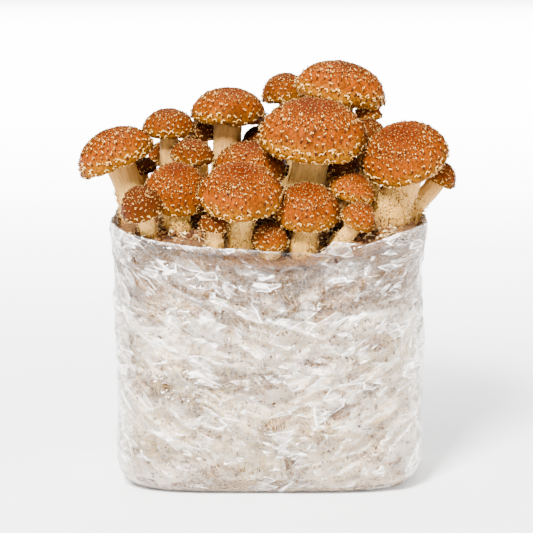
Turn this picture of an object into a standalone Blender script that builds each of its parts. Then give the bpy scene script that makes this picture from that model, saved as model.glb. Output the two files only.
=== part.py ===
"""Chestnut mushroom grow kit: a block of colonised sawdust in a clear film bag that is cut open at the top,
with a crowd of scaly brown mushrooms growing out of it.

The origin is the centre of the bag's flat base, +Z is up and -Y is the front. Sizes in the constants and in
the table of mushrooms are millimetres and degrees; MM turns them into Blender's metres.
"""

import math
from dataclasses import dataclass

import bpy
from mathutils import Vector

MM = 0.001

# The bag: a five pound spawn bag, 8 by 5 inches when it is filled.
BAG_HALF_WIDTH = 102.6
BAG_HALF_DEPTH = 63.5
BAG_CORNER_POWER = 4.2  # of the rounded oblong that the filled bag makes in plan
BAG_WALL = 0.9
BAG_TAPER = 2.2  # how much the bag narrows on each side up to where the film comes free
BAG_FLARE = 2.6  # how far the free rim leans out
BAG_SEGMENTS = 52
WALL_HEIGHTS = (52.0, 98.0, 146.0)
BASE_ROUNDING = 13.5  # how far the flat base stays inside the side walls
BASE_ROUNDING_HEIGHT = 20.0
BASE_STEPS = 3
FREE_RIM_FROM = 146.0  # above this height the film stands free of the block

# Heights of the cut edge of the bag from left to right, as (x, z): along the front, and along the back.
FRONT_RIM = (
    (-101.0, 176.5),
    (-86.0, 172.3),
    (-70.0, 168.0),
    (-44.0, 166.0),
    (-12.0, 163.3),
    (20.0, 162.0),
    (34.0, 162.3),
    (42.0, 169.8),
    (61.0, 166.0),
    (77.0, 172.3),
    (94.0, 176.5),
    (103.0, 177.5),
)
BACK_RIM = ((-103.0, 176.5), (-80.0, 173.5), (-30.0, 171.0), (20.0, 174.0), (70.0, 172.0), (103.0, 176.0))

# The block of colonised sawdust inside it.
GAP = 0.35  # between pieces that touch
FOOT_GAP = 0.5  # between a stem's faceted foot and the block's facets
BLOCK_TOP = 173.5
FRONT_DIP = 16.0  # how much lower the block's top is at the middle of its front edge
FRONT_DIP_X = 14.0
FRONT_DIP_LEFT_SPREAD = 40.0
FRONT_DIP_RIGHT_SPREAD = 33.0
BACK_DIP = 6.0
SHOULDER_DROP = 8.0
SHOULDER_WIDTH = 12.0

# Shares of a cap's radius that give its section.
MARGIN_TUCK = 0.07
MARGIN_DEPTH = 0.13
GILL_EDGE = 0.84
GILL_MIDDLE = 0.55
SCALE_LUMP = 0.022
STEM_SEAT = 1.3  # of the stem's radius
STEM_SIDES = 8
SHORT_STEM = 4.5  # reach in radii below which a stem has one ring between foot and cap


@dataclass(frozen=True)
class Mushroom:
    """One fruit body. cap is the centre of the cap's widest ring, foot is where the stem leaves the block."""

    number: int
    cap: tuple
    radius: float
    dome: float  # height of the dome above its widest ring
    lean_right: float
    lean_front: float
    foot: tuple
    stem: float  # radius of the stem
    tone: str = "chestnut"

    @property
    def axis(self):
        """Unit vector from the gills to the top of the dome."""
        right = math.tan(math.radians(self.lean_right))
        front = math.tan(math.radians(self.lean_front))
        return Vector((right, -front, 1.0)).normalized()


MUSHROOMS = (
    Mushroom(1, (-99.3, -8, 214.5), 25.8, 20.5, -22, 0, (-87, -6), 9.5),
    Mushroom(2, (-67, 20, 229.5), 17.3, 15.0, 0, 2, (-69, 18), 5.8),
    Mushroom(3, (-27.5, 38, 237), 25.0, 19.8, 2, 0, (-32, 42), 9.3),
    Mushroom(4, (-46.5, 53, 221.5), 12.4, 11.0, -4, 0, (-46, 53.5), 4.4),
    Mushroom(5, (-51, 3, 214), 14.3, 12.0, 6, 8, (-46, 4), 4.6),
    Mushroom(6, (-60, -30, 193.5), 20.8, 22.0, 8, 26, (-59, -38), 7.8),
    Mushroom(7, (-18.1, -52, 196.8), 26.8, 19.5, 0, 21, (-18, -46), 7.8),
    Mushroom(8, (-80, -56, 187.5), 13.4, 17.0, -16, 16, (-77, -45), 5.2, "dark"),
    Mushroom(9, (-86, 19, 203), 11.0, 9.0, -8, 0, (-85, 20), 4.6, "dark"),
    Mushroom(10, (-35.4, -54, 177), 9.3, 10.0, 3, 4, (-34, -52), 5.0, "dark"),
    Mushroom(11, (0.6, -53, 166.5), 11.4, 13.0, 0, 10, (0.5, -49), 6.2),
    Mushroom(12, (-12, 5, 205), 24.8, 19.0, 0, 9, (-10, 8), 7.5),
    Mushroom(13, (11.5, 63, 247.8), 16.0, 16.5, -6, 0, (13, 52), 4.8),
    Mushroom(14, (48, 37, 252.6), 30.5, 22.0, 11, 0, (51, 35), 10.2),
    Mushroom(15, (28.5, -16, 228.2), 35.0, 26.5, 2, 13, (20, -5), 11.6),
    Mushroom(16, (-5, 39, 220), 13.0, 11.0, -8, 0, (-7, 40), 4.4, "dark"),
    Mushroom(17, (24.2, -42, 183.6), 21.0, 20.0, 0, 19, (21.5, -45), 7.8),
    Mushroom(18, (53.2, -29, 195), 15.0, 13.2, 18, 8, (54, -24), 5.2),
    Mushroom(19, (56, -50.5, 180), 11.1, 13.0, 25, 14, (42.5, -46), 4.9),
    Mushroom(20, (88.3, -22, 217.0), 28.2, 21.5, -16, 26, (76, -19), 11.3),
    Mushroom(21, (112, 4, 199.5), 11.6, 12.0, 27, 4, (91, 4), 6.0, "dark"),
    Mushroom(22, (66, 27, 237.5), 9.8, 8.5, -8, 0, (72, 36), 4.2),
    Mushroom(23, (48, 1, 206), 12.0, 12.0, 0, 6, (47.5, 1), 4.4, "dark"),
    Mushroom(24, (67, 11.8, 224), 11.4, 14.5, 0, 0, (56, 14), 7.4, "dark"),
    Mushroom(25, (-67.5, 53, 205), 16.0, 15.0, -6, -6, (-68, 45), 6.6, "dark"),
    Mushroom(26, (-10, 58, 192), 12.4, 11.0, -6, -20, (-12, 52), 5.0),
    Mushroom(27, (99, 40, 203), 19.0, 15.0, 10, -18, (88, 28), 7.0),
    Mushroom(28, (38, 58, 186), 13.0, 13.0, -4, -20, (33, 51), 5.4, "dark"),
)

TONES = {
    "chestnut": (0.56, 0.22, 0.06),
    "dark": (0.30, 0.09, 0.03),
}


def smooth_step(low, high, value):
    """0 below low, 1 above high, and a smooth rise between them."""
    share = min(1.0, max(0.0, (value - low) / (high - low)))
    return share * share * (3.0 - 2.0 * share)


def plain_material(name, colour, roughness, alpha=1.0):
    """A Principled material with one colour."""
    material = bpy.data.materials.new(name)
    material.use_nodes = True
    shader = material.node_tree.nodes["Principled BSDF"]
    shader.inputs["Base Color"].default_value = (*colour, 1.0)
    shader.inputs["Roughness"].default_value = roughness
    shader.inputs["Metallic"].default_value = 0.0
    shader.inputs["Alpha"].default_value = alpha
    return material


def add_object(name, points, faces, material):
    """A smooth-shaded mesh object from points in millimetres."""
    mesh = bpy.data.meshes.new(name)
    mesh.from_pydata([Vector(p) * MM for p in points], [], faces)
    mesh.materials.append(material)
    mesh.shade_smooth()
    mesh.set_sharp_from_angle(angle=math.radians(50))
    mesh.update()
    thing = bpy.data.objects.new(name, mesh)
    bpy.context.scene.collection.objects.link(thing)
    return thing


def skin_rings(rings, start, end):
    """Points and faces of a closed skin over rings of equal length, with a fan to the points start and end.

    The rings run so that start's fan and the bands between rings face outwards. Each band's diagonals climb the
    same way round, whichever way the rings run, so that skins over parallel rings stay parallel.
    """
    count = len(rings[0])
    points = [start] + [p for ring in rings for p in ring] + [end]
    last = len(points) - 1
    faces = [(0, 1 + k, 1 + (k + 1) % count) for k in range(count)]
    for r in range(len(rings) - 1):
        near = 1 + r * count
        far = near + count
        climbing = sum(p[2] for p in rings[r + 1]) > sum(p[2] for p in rings[r])
        for k in range(count):
            after = (k + 1) % count
            if climbing:
                faces.append((near + k, far + k, far + after))
                faces.append((near + k, far + after, near + after))
            else:
                faces.append((far + k, far + after, near + after))
                faces.append((far + k, near + after, near + k))
    final = 1 + (len(rings) - 1) * count
    faces += [(last, final + (k + 1) % count, final + k) for k in range(count)]
    return points, faces


# The bag and the block


def wall_bulge(angle, height):
    """How far the soft wall stands out of the plain oblong: broad dents and folds pulled across the film."""
    side = height / 170.0
    round_bag = math.atan2(*oblong(angle, 0.0)[::-1])
    folds = 0.8 * math.sin(5 * round_bag + 4.2 * side) + 0.6 * math.sin(9 * round_bag - 6.5 * side + 1.0)
    creases = 0.4 * math.sin(17 * round_bag + 9.0 * side)
    return (folds + creases) * smooth_step(0.0, 30.0, height)


def oblong(angle, inset):
    """Point in plan of the rounded oblong, inset from the bag's outer face."""
    power = 2.0 / BAG_CORNER_POWER
    cosine, sine = math.cos(angle), math.sin(angle)
    x = (BAG_HALF_WIDTH - inset) * math.copysign(abs(cosine) ** power, cosine)
    y = (BAG_HALF_DEPTH - inset) * math.copysign(abs(sine) ** power, sine)
    return x, y


def even_angles(count):
    """Angles of the oblong, counter-clockwise from above, that space points evenly along its outline."""
    fine = 2000
    angles = [2.0 * math.pi * k / fine for k in range(fine + 1)]
    outline = [Vector(oblong(a, 0.0)) for a in angles]
    travelled = [0.0]
    for point, after in zip(outline, outline[1:]):
        travelled.append(travelled[-1] + (after - point).length)
    chosen = []
    step = 0
    for k in range(count):
        while travelled[step] < travelled[-1] * k / count:
            step += 1
        chosen.append(angles[step])
    return chosen


BAG_ANGLES = even_angles(BAG_SEGMENTS)


def wall_point(angle, height, inset):
    """Point of the bag's wall, or of a face at a constant inset inside it."""
    bulge = wall_bulge(angle, min(height, FREE_RIM_FROM))
    flare = BAG_FLARE * smooth_step(FREE_RIM_FROM, BLOCK_TOP, height)
    taper = BAG_TAPER * smooth_step(0.0, FREE_RIM_FROM, height)
    x, y = oblong(angle, inset + taper - bulge - flare)
    return x, y, height


def base_rings(inset):
    """Rings of the rounded bottom edge, an ellipse's quarter in section, all at the same inset square to it."""
    rings = []
    for step in range(BASE_STEPS + 1):
        turn = 0.5 * math.pi * step / BASE_STEPS
        inward = BASE_ROUNDING * (1.0 - math.sin(turn))
        height = BASE_ROUNDING_HEIGHT * (1.0 - math.cos(turn))
        normal = Vector((math.sin(turn) / BASE_ROUNDING, math.cos(turn) / BASE_ROUNDING_HEIGHT)).normalized()
        ring = []
        for angle in BAG_ANGLES:
            x, y, _ = wall_point(angle, height, inward + inset * normal.x)
            ring.append((x, y, height + inset * normal.y))
        rings.append(ring)
    return rings


def wall_rings(inset):
    """Rings from the flat base up to where the film comes free of the block."""
    return base_rings(inset) + [[wall_point(a, h, inset) for a in BAG_ANGLES] for h in WALL_HEIGHTS]


def along(table, x):
    """Height at x on the straight lines between a table's points."""
    if x <= table[0][0]:
        return table[0][1]
    for (x0, z0), (x1, z1) in zip(table, table[1:]):
        if x <= x1:
            return z0 + (z1 - z0) * (x - x0) / (x1 - x0)
    return table[-1][1]


def rim_height(angle):
    """Height of the bag's cut edge at this angle."""
    x, y = oblong(angle, 0.0)
    back = smooth_step(-22.0, 22.0, y)
    return (1.0 - back) * along(FRONT_RIM, x) + back * along(BACK_RIM, x)


def block_top_height(x, y):
    """Height of the block's top, away from its shoulder: dips along the front and the back, and lumps."""
    spread = FRONT_DIP_LEFT_SPREAD if x < FRONT_DIP_X else FRONT_DIP_RIGHT_SPREAD
    dip = FRONT_DIP * math.exp(-0.5 * ((x - FRONT_DIP_X) / spread) ** 2) * smooth_step(-8.0, -48.0, y)
    lumps = 0.9 * math.sin(x / 9.0 + 1.0) * math.sin(y / 8.0)
    return BLOCK_TOP - dip - BACK_DIP * smooth_step(5.0, 50.0, y) + lumps


def build_bag():
    """The film bag: a thin wall with a flat base, open at the top, with an uneven cut edge."""

    def rim(inset):
        return [wall_point(a, rim_height(a), inset) for a in BAG_ANGLES]

    rings = wall_rings(0.0) + [rim(0.0), rim(BAG_WALL)] + wall_rings(BAG_WALL)[::-1]
    points, faces = skin_rings(rings, (0.0, 0.0, 0.0), (0.0, 0.0, BAG_WALL))
    faces = [face[::-1] for face in faces]
    film = plain_material("clear_film", (0.86, 0.87, 0.87), 0.2, 0.45)
    return add_object("bag", points, faces, film)


def build_block():
    """The block of sawdust and mycelium that fills the bag, with a rounded shoulder and a lumpy top."""
    inset = BAG_WALL + GAP
    rings = wall_rings(inset)
    shoulder = ((0.0, 1.0), (0.22, 0.45), (0.6, 0.12), (1.0, 0.0))
    for across, down in shoulder:
        ring = []
        for a in BAG_ANGLES:
            x, y, _ = wall_point(a, FREE_RIM_FROM, inset + across * SHOULDER_WIDTH)
            ring.append((x, y, block_top_height(x, y) - down * SHOULDER_DROP))
        rings.append(ring)
    for share in (0.68, 0.36):
        ring = []
        for a in BAG_ANGLES:
            x, y = (share * v for v in oblong(a, SHOULDER_WIDTH))
            ring.append((x, y, block_top_height(x, y)))
        rings.append(ring)
    top = (0.0, 0.0, block_top_height(0.0, 0.0))
    points, faces = skin_rings(rings, (0.0, 0.0, inset), top)
    faces = [face[::-1] for face in faces]
    colonised = plain_material("colonised_sawdust", (0.72, 0.66, 0.56), 0.9)
    return add_object("substrate_block", points, faces, colonised)


# The mushrooms


def frame_across(axis):
    """Two unit vectors square to axis and to each other, the first one towards +X."""
    side = (Vector((1.0, 0.0, 0.0)) - axis * axis.x).normalized()
    return side, axis.cross(side)


def circle(centre, axis, radius, count, wave=None):
    """Points round axis; wave(k) gives each point's own factor on the radius and shift along the axis."""
    side, other = frame_across(axis)
    ring = []
    for k in range(count):
        angle = 2.0 * math.pi * k / count
        factor, shift = wave(k) if wave else (1.0, 0.0)
        out = side * math.cos(angle) + other * math.sin(angle)
        ring.append(centre + out * radius * factor + axis * shift)
    return ring


def cap_segments(mushroom):
    """An even number of segments, more on a wide cap."""
    return 2 * round(4.3 + mushroom.radius / 8.5)


def build_cap(mushroom):
    """A domed cap with staggered scale lumps, a toothed tucked-in margin and a shallow underside."""
    centre, axis = Vector(mushroom.cap), mushroom.axis
    radius, dome = mushroom.radius, mushroom.dome
    count = cap_segments(mushroom)

    def lumps(row):
        def wave(k):
            raised = (k + row) % 2
            wavy = 0.012 * math.sin(3 * 2.0 * math.pi * k / count + mushroom.number)
            return 1.0 + wavy + SCALE_LUMP * raised, 0.3 * SCALE_LUMP * dome * raised

        return wave

    def teeth(k):
        return 1.0 - 0.03 * (k % 2), 0.045 * radius * (k % 2)

    rings = []
    for row, steepness in enumerate((20.0, 42.0, 66.0, 90.0)):
        turn = math.radians(steepness)
        middle = centre + axis * dome * math.cos(turn)
        rings.append(circle(middle, axis, radius * math.sin(turn), count, lumps(row)))
    lip = centre - axis * MARGIN_DEPTH * radius
    rings.append(circle(lip, axis, radius * (1.0 - MARGIN_TUCK), count, teeth))
    rings.append(circle(centre - axis * 0.06 * radius, axis, radius * GILL_EDGE, count))
    rings.append(circle(centre, axis, max(GILL_MIDDLE * radius, STEM_SEAT * mushroom.stem), count))
    points, faces = skin_rings(rings, centre + axis * dome, centre)
    skin = plain_material(f"cap_skin_{mushroom.tone}", TONES[mushroom.tone], 0.6)
    return add_object(f"cap_{mushroom.number:02d}", points, faces, skin)


def stem_line(mushroom, foot):
    """Points and directions up the middle of a stem, which leaves the block upright and meets the cap square."""
    top = Vector(mushroom.cap) - mushroom.axis * GAP
    reach = (top - foot).length
    leave = (Vector((0.0, 0.0, 1.4)) + (top - foot).normalized()).normalized()
    controls = (foot, foot + leave * reach * 0.35, top - mushroom.axis * reach * 0.4, top)
    line = []
    for share in (0.0, 0.5, 1.0) if reach < SHORT_STEM * mushroom.stem else (0.0, 0.25, 0.5, 0.75, 1.0):
        rest = 1.0 - share
        weights = (rest**3, 3 * share * rest**2, 3 * share**2 * rest, share**3)
        slopes = (-3 * rest**2, 3 * rest**2 - 6 * share * rest, 6 * share * rest - 3 * share**2, 3 * share**2)
        point = sum((c * w for c, w in zip(controls, weights)), Vector())
        slope = sum((c * s for c, s in zip(controls, slopes)), Vector())
        line.append((share, point, slope.normalized()))
    return line


def height_on(block, x, y):
    """Height of the block's own faces under a point, in millimetres."""
    above = Vector((x, y, 2.0 * BLOCK_TOP)) * MM
    hit, place, _, _ = block.ray_cast(above, Vector((0.0, 0.0, -1.0)))
    if not hit:
        raise ValueError(f"no block under {x:.0f}, {y:.0f}")
    return place.z / MM


def clearance(block, middle, ring):
    """How far a fan from middle to ring has to rise to pass over the block's lumps."""
    lift = 0.0
    for point, after in zip(ring, ring[1:] + ring[:1]):
        for out, along in ((0.33, 0.0), (0.66, 0.0), (0.5, 0.5), (0.85, 0.5), (1.0, 0.5), (0.85, 0.0)):
            place = middle.lerp(point.lerp(after, along), out)
            lift = max(lift, height_on(block, place.x, place.y) + FOOT_GAP - place.z)
    return lift


def build_stem(mushroom, block):
    """A stem with a shaggy, slightly swollen foot that follows the block's top."""
    x, y = mushroom.foot
    foot = Vector((x, y, height_on(block, x, y) + FOOT_GAP))
    rings = []
    for share, point, slope in stem_line(mushroom, foot):
        swelling = 1.0 + 0.22 * (1.0 - share) ** 3 + 0.06 * share**4
        shag = 0.05 * smooth_step(0.75, 0.1, share)

        def wave(k, shag=shag):
            return 1.0 + shag * (1.0 if k % 2 else -1.0), 0.0

        rings.append(circle(point, slope, mushroom.stem * swelling, STEM_SIDES, wave))
    rings[0] = [Vector((p.x, p.y, height_on(block, p.x, p.y) + FOOT_GAP)) for p in rings[0]]
    lift = clearance(block, foot, rings[0])
    for point in rings[0]:
        point.z += lift
    foot.z += lift
    top = sum(rings[-1], Vector()) / STEM_SIDES
    points, faces = skin_rings(rings[::-1], top, foot)
    flesh = plain_material("stem_flesh", (0.74, 0.56, 0.36), 0.75)
    return add_object(f"stem_{mushroom.number:02d}", points, faces, flesh)


def clear_scene():
    """Removes what the file holds, such as the startup cube."""
    for thing in list(bpy.data.objects):
        bpy.data.objects.remove(thing, do_unlink=True)


def main():
    clear_scene()
    build_bag()
    block = build_block()
    bpy.context.view_layer.update()
    for mushroom in MUSHROOMS:
        build_cap(mushroom)
        build_stem(mushroom, block)


main()
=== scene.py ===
"""Looks of a chestnut mushroom grow kit: scaly brown mushrooms on a colonised sawdust block in a film bag.

Every length here is in millimetres, in the frame of the CAD model: the origin is the centre of the bag's flat
base, +Z is up and -Y is the front. MM turns millimetres into Blender's metres. The angles of Mushroom, Patch
and Studio are in degrees and all others in radians. Places in shader nodes are in metres.
"""

from __future__ import annotations

import logging
import math
from dataclasses import dataclass, field
from enum import Enum

import bpy
import numpy as np
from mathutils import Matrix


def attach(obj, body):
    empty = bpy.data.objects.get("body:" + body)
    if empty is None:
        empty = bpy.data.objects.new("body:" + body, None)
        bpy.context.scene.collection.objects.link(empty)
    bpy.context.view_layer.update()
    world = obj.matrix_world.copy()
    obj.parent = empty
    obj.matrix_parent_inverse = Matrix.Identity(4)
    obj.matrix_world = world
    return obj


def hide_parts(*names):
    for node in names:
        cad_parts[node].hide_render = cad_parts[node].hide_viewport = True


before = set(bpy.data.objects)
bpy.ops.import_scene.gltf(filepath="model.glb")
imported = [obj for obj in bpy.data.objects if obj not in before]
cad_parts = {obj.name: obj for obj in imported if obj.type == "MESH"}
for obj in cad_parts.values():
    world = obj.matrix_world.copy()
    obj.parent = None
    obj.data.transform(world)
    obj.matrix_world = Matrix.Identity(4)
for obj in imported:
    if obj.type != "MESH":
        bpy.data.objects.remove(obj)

MM = 0.001
BODY = "root"
Array = np.ndarray
Socket = bpy.types.NodeSocket
PIXEL = 0.655  # about how many millimetres a pixel of the photograph spans on the bag
BLOCK_POWER = 4.15  # how square the block is in plan
UNDER_FILM = 2.3  # how far in from the bag's outline the things just under the film lie
FOLD_SLOPE = 0.5  # how steeply the film's folds run down towards the middle of the front and back
FOLD_TURN = 0.8  # their slope from front to back, as a share of FOLD_SLOPE
FOLD_STRETCH = 1.9  # how many times longer than high the folds are
log = logging.getLogger("grow_kit")


# Numbers


def smooth_step(low: float, high: float, value: Array | float) -> Array:
    """0 below low, 1 above high and 3 s^2 - 2 s^3 between them, where s is the share of the way."""
    share = np.clip((np.asarray(value, float) - low) / (high - low), 0.0, 1.0)
    return share * share * (3.0 - 2.0 * share)


def unit(vectors: Array) -> Array:
    """Each row divided by its length."""
    return vectors / np.maximum(np.linalg.norm(vectors, axis=-1, keepdims=True), 1e-12)


def hashed(cells: Array, seed: int) -> Array:
    """A fixed pseudo-random number in 0..1 for each row of whole numbers."""
    mixed = cells[..., 0] * 374761393 + cells[..., 1] * 668265263 + cells[..., 2] * 1442695041
    mixed = (mixed + seed * 9176263) & 0xFFFFFFFF
    mixed = ((mixed ^ (mixed >> 13)) * 1274126177) & 0xFFFFFFFF
    return ((mixed ^ (mixed >> 16)) & 0xFFFFFF) / float(0xFFFFFF)


def noise(points: Array, size: float, seed: int, octaves: int = 1) -> Array:
    """Smooth random field in -1..1: hashed corner values of a lattice, blended with 3 f^2 - 2 f^3.

    Args:
        points: Places, one per row.
        size: Distance between lattice corners.
        seed: Which field.
        octaves: How many fields are added, each at half the size and half the strength of the one before.

    Returns:
        One value for each place.
    """
    total = np.zeros(points.shape[:-1])
    strength, weight = 1.0, 0.0
    for octave in range(octaves):
        scaled = points * (2.0**octave / size)
        cell = np.floor(scaled).astype(np.int64)
        inside = scaled - cell
        inside = inside * inside * (3.0 - 2.0 * inside)
        value = np.zeros(total.shape)
        for corner in range(8):
            step = np.array([corner & 1, corner >> 1 & 1, corner >> 2])
            share = np.prod(np.where(step == 1, inside, 1.0 - inside), axis=-1)
            value += share * hashed(cell + step, seed + 31 * octave)
        total += strength * (2.0 * value - 1.0)
        weight += strength
        strength *= 0.5
    return total / weight


def bowls(points: Array, size: float, seed: int) -> tuple[Array, Array]:
    """Shallow bowls that meet in sharp straight ridges, as in crumpled film.

    Space is cut into cubes with one random centre c in each. The height is the least of |p - c|^2 + random(c)
    over the centres round p, in cubes, and the gap to the next least one tells how near a ridge is.

    Args:
        points: Places, one per row.
        size: Side of a cube.
        seed: Which field.

    Returns:
        Height from 0 up to about 1, and nearness to a ridge, exp(-gap / 0.05), for each place.
    """
    scaled = points / size
    cell = np.floor(scaled).astype(np.int64)
    least = np.full(points.shape[:-1], 9.0)
    second = least.copy()
    for step in np.ndindex(3, 3, 3):
        other = cell + np.array(step) - 1
        centre = other + np.stack([hashed(other, seed + 7 * axis) for axis in range(3)], axis=-1)
        value = ((scaled - centre) ** 2).sum(axis=-1) + 0.35 * hashed(other, seed + 29)
        second = np.minimum(second, np.maximum(least, value))
        least = np.minimum(least, value)
    return least, np.exp(-(second - least) / 0.05)


def flat(*columns: Array) -> Array:
    """Columns side by side as points, with zeros for a missing third one."""
    arrays = list(np.broadcast_arrays(*columns))
    while len(arrays) < 3:
        arrays.append(np.zeros_like(arrays[0]))
    return np.stack(arrays, axis=-1)


# Meshes


def grid_faces(rows: int, columns: int, start: int = 0) -> Array:
    """Quads of a grid closed into a ring, facing out when rows go down and columns counter-clockwise."""
    row, column = np.meshgrid(np.arange(rows - 1), np.arange(columns), indexing="ij")
    after = (column + 1) % columns
    here, below = row * columns, (row + 1) * columns
    quads = np.stack([here + column, below + column, below + after, here + after], axis=-1)
    return quads.reshape(-1, 4) + start


def sheet_faces(rows: int, columns: int) -> Array:
    """Quads of a grid that isn't closed, turned as grid_faces turns them."""
    row, column = np.meshgrid(np.arange(rows - 1), np.arange(columns - 1), indexing="ij")
    here = row * columns + column
    below = here + columns
    return np.stack([here, below, below + 1, here + 1], axis=-1).reshape(-1, 4)


def fan_faces(hub: int, ring: Array, outward: bool) -> Array:
    """Triangles from a hub point to a ring of points."""
    after = np.roll(ring, -1)
    hubs = np.full(len(ring), hub)
    return np.stack([hubs, ring, after] if outward else [hubs, after, ring], axis=-1)


@dataclass
class Surface:
    """Points, faces and what the finish reads at each point."""

    points: Array
    faces: list[Array]
    values: dict[str, Array] = field(default_factory=dict)
    uv: Array | None = None

    def mesh(self, name: str) -> bpy.types.Mesh:
        """The Blender mesh, in metres, smooth, with its attributes and UV map."""
        mesh = bpy.data.meshes.new(name)
        corners = np.concatenate([part.ravel() for part in self.faces]).astype(np.int32)
        sizes = np.concatenate([np.full(len(part), part.shape[1]) for part in self.faces]).astype(np.int32)
        starts = (np.cumsum(sizes) - sizes).astype(np.int32)
        mesh.vertices.add(len(self.points))
        mesh.vertices.foreach_set("co", (self.points * MM).astype(np.float32).ravel())
        mesh.loops.add(len(corners))
        mesh.loops.foreach_set("vertex_index", corners)
        mesh.polygons.add(len(sizes))
        mesh.polygons.foreach_set("loop_start", starts)
        mesh.update(calc_edges=True)
        mesh.shade_smooth()
        for key, array in self.values.items():
            attribute = mesh.attributes.new(key, "FLOAT", "POINT")
            attribute.data.foreach_set("value", np.ascontiguousarray(array, np.float32).ravel())
        if self.uv is not None:
            layer = mesh.uv_layers.new(name="UVMap")
            layer.data.foreach_set("uv", self.uv[corners].astype(np.float32).ravel())
        return mesh


def add_piece(
    name: str, surface: Surface, material: bpy.types.Material, replaces: tuple[str, ...] = ()
) -> bpy.types.Object:
    """Args:
        name: The piece's name.
        surface: Its shape.
        material: Its finish.
        replaces: The CAD nodes that it stands for.

    Returns:
        The new object.
    """
    mesh = surface.mesh(name)
    mesh.materials.append(material)
    piece = bpy.data.objects.new(name, mesh)
    bpy.context.scene.collection.objects.link(piece)
    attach(piece, BODY)
    if replaces:
        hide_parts(*replaces)
    log.info("%s: %d triangles", name, sum(len(part) * (part.shape[1] - 2) for part in surface.faces))
    return piece


# Finishes


class Graph:
    """Builds a material's nodes."""

    def __init__(self, name: str) -> None:
        """Starts a material with nothing but its output."""
        self.material = bpy.data.materials.new(name)
        self.material.use_nodes = True
        self.tree = self.material.node_tree
        self.tree.nodes.clear()
        self.output = self.tree.nodes.new("ShaderNodeOutputMaterial")

    def add(self, kind: str, settings: dict | None = None, **sockets: object) -> bpy.types.Node:
        """Adds a node.

        Args:
            kind: The node's type without its ShaderNode prefix.
            settings: Attributes to set on the node.
            sockets: Input values or output sockets to link, with underscores for spaces in their names.

        Returns:
            The node.
        """
        node = self.tree.nodes.new("ShaderNode" + kind)
        for key, value in (settings or {}).items():
            setattr(node, key, value)
        for key, value in sockets.items():
            self.put(node.inputs[key.replace("_", " ")], value)
        return node

    def put(self, socket: Socket, value: object) -> None:
        """Links an output to a socket, or sets its value."""
        if isinstance(value, Socket):
            self.tree.links.new(value, socket)
        else:
            socket.default_value = value

    def attribute(self, name: str) -> Socket:
        """The value of a mesh attribute."""
        return self.add("Attribute", {"attribute_name": name}).outputs["Fac"]

    def place(self) -> Socket:
        """Object coordinates, in metres."""
        return self.add("TexCoord").outputs["Object"]

    def uv(self) -> Socket:
        """The piece's own UV map."""
        return self.add("UVMap", {"uv_map": "UVMap"}).outputs["UV"]

    def stretched(self, vector: Socket, scale: tuple[float, float, float]) -> Socket:
        """A vector scaled along each axis."""
        return self.add("Mapping", Vector=vector, Scale=scale).outputs["Vector"]

    def noise(
        self, vector: Socket, scale: float, detail: float = 3.0, rough: float = 0.55
    ) -> Socket:
        """Noise in 0..1 round 0.5, where scale is features per unit of the vector."""
        node = self.add("TexNoise", Vector=vector, Scale=scale, Detail=detail, Roughness=rough)
        return node.outputs["Fac"]

    def remap(
        self, value: Socket, low: float, high: float, out_low: float = 0.0, out_high: float = 1.0
    ) -> Socket:
        """Straight rescaling of low..high to out_low..out_high, held at its ends."""
        node = self.add("MapRange", Value=value, From_Min=low, From_Max=high, To_Min=out_low, To_Max=out_high)
        return node.outputs["Result"]

    def math(self, operation: str, first: object, second: object = 0.0) -> Socket:
        """One sum of two values."""
        node = self.add("Math", {"operation": operation})
        self.put(node.inputs[0], first)
        self.put(node.inputs[1], second)
        return node.outputs["Value"]

    def mix(self, share: object, first: object, second: object, kind: str = "MIX") -> Socket:
        """Two colours mixed."""
        node = self.add("Mix", {"data_type": "RGBA", "blend_type": kind})
        self.put(node.inputs["Factor"], share)
        self.put(node.inputs[6], first)
        self.put(node.inputs[7], second)
        return node.outputs[2]

    def grey(self, shade: Socket) -> Socket:
        """The grey of a shade."""
        return self.add("CombineColor", Red=shade, Green=shade, Blue=shade).outputs[0]

    def ramp(self, value: Socket, stops: tuple[tuple[float, tuple], ...]) -> Socket:
        """Colour along stops of (position, colour)."""
        node = self.add("ValToRGB", Fac=value)
        elements = node.color_ramp.elements
        while len(elements) < len(stops):
            elements.new(1.0)
        for element, (position, colour) in zip(elements, stops):
            element.position = position
            element.color = colour
        return node.outputs["Color"]

    def bump(self, height: Socket, distance: float, strength: float = 1.0) -> Socket:
        """Normal bent by a height, with distance in metres."""
        return self.add("Bump", Height=height, Distance=distance, Strength=strength).outputs["Normal"]

    def finish(self, shader: bpy.types.Node) -> bpy.types.Material:
        """Links the last shader and gives the material."""
        self.tree.links.new(shader.outputs[0], self.output.inputs["Surface"])
        return self.material


class Tone(Enum):
    """How deep the colour of a cap is, as a share of dark brown: the caps' own tone, and painted shade at the
    darkest.
    """

    LIGHT = 0.0
    CHESTNUT = 0.22
    DEEP = 0.5
    # painted shade: dark brown for caps that sit in the shadow of other caps
    SHADOWED = 0.85


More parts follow.
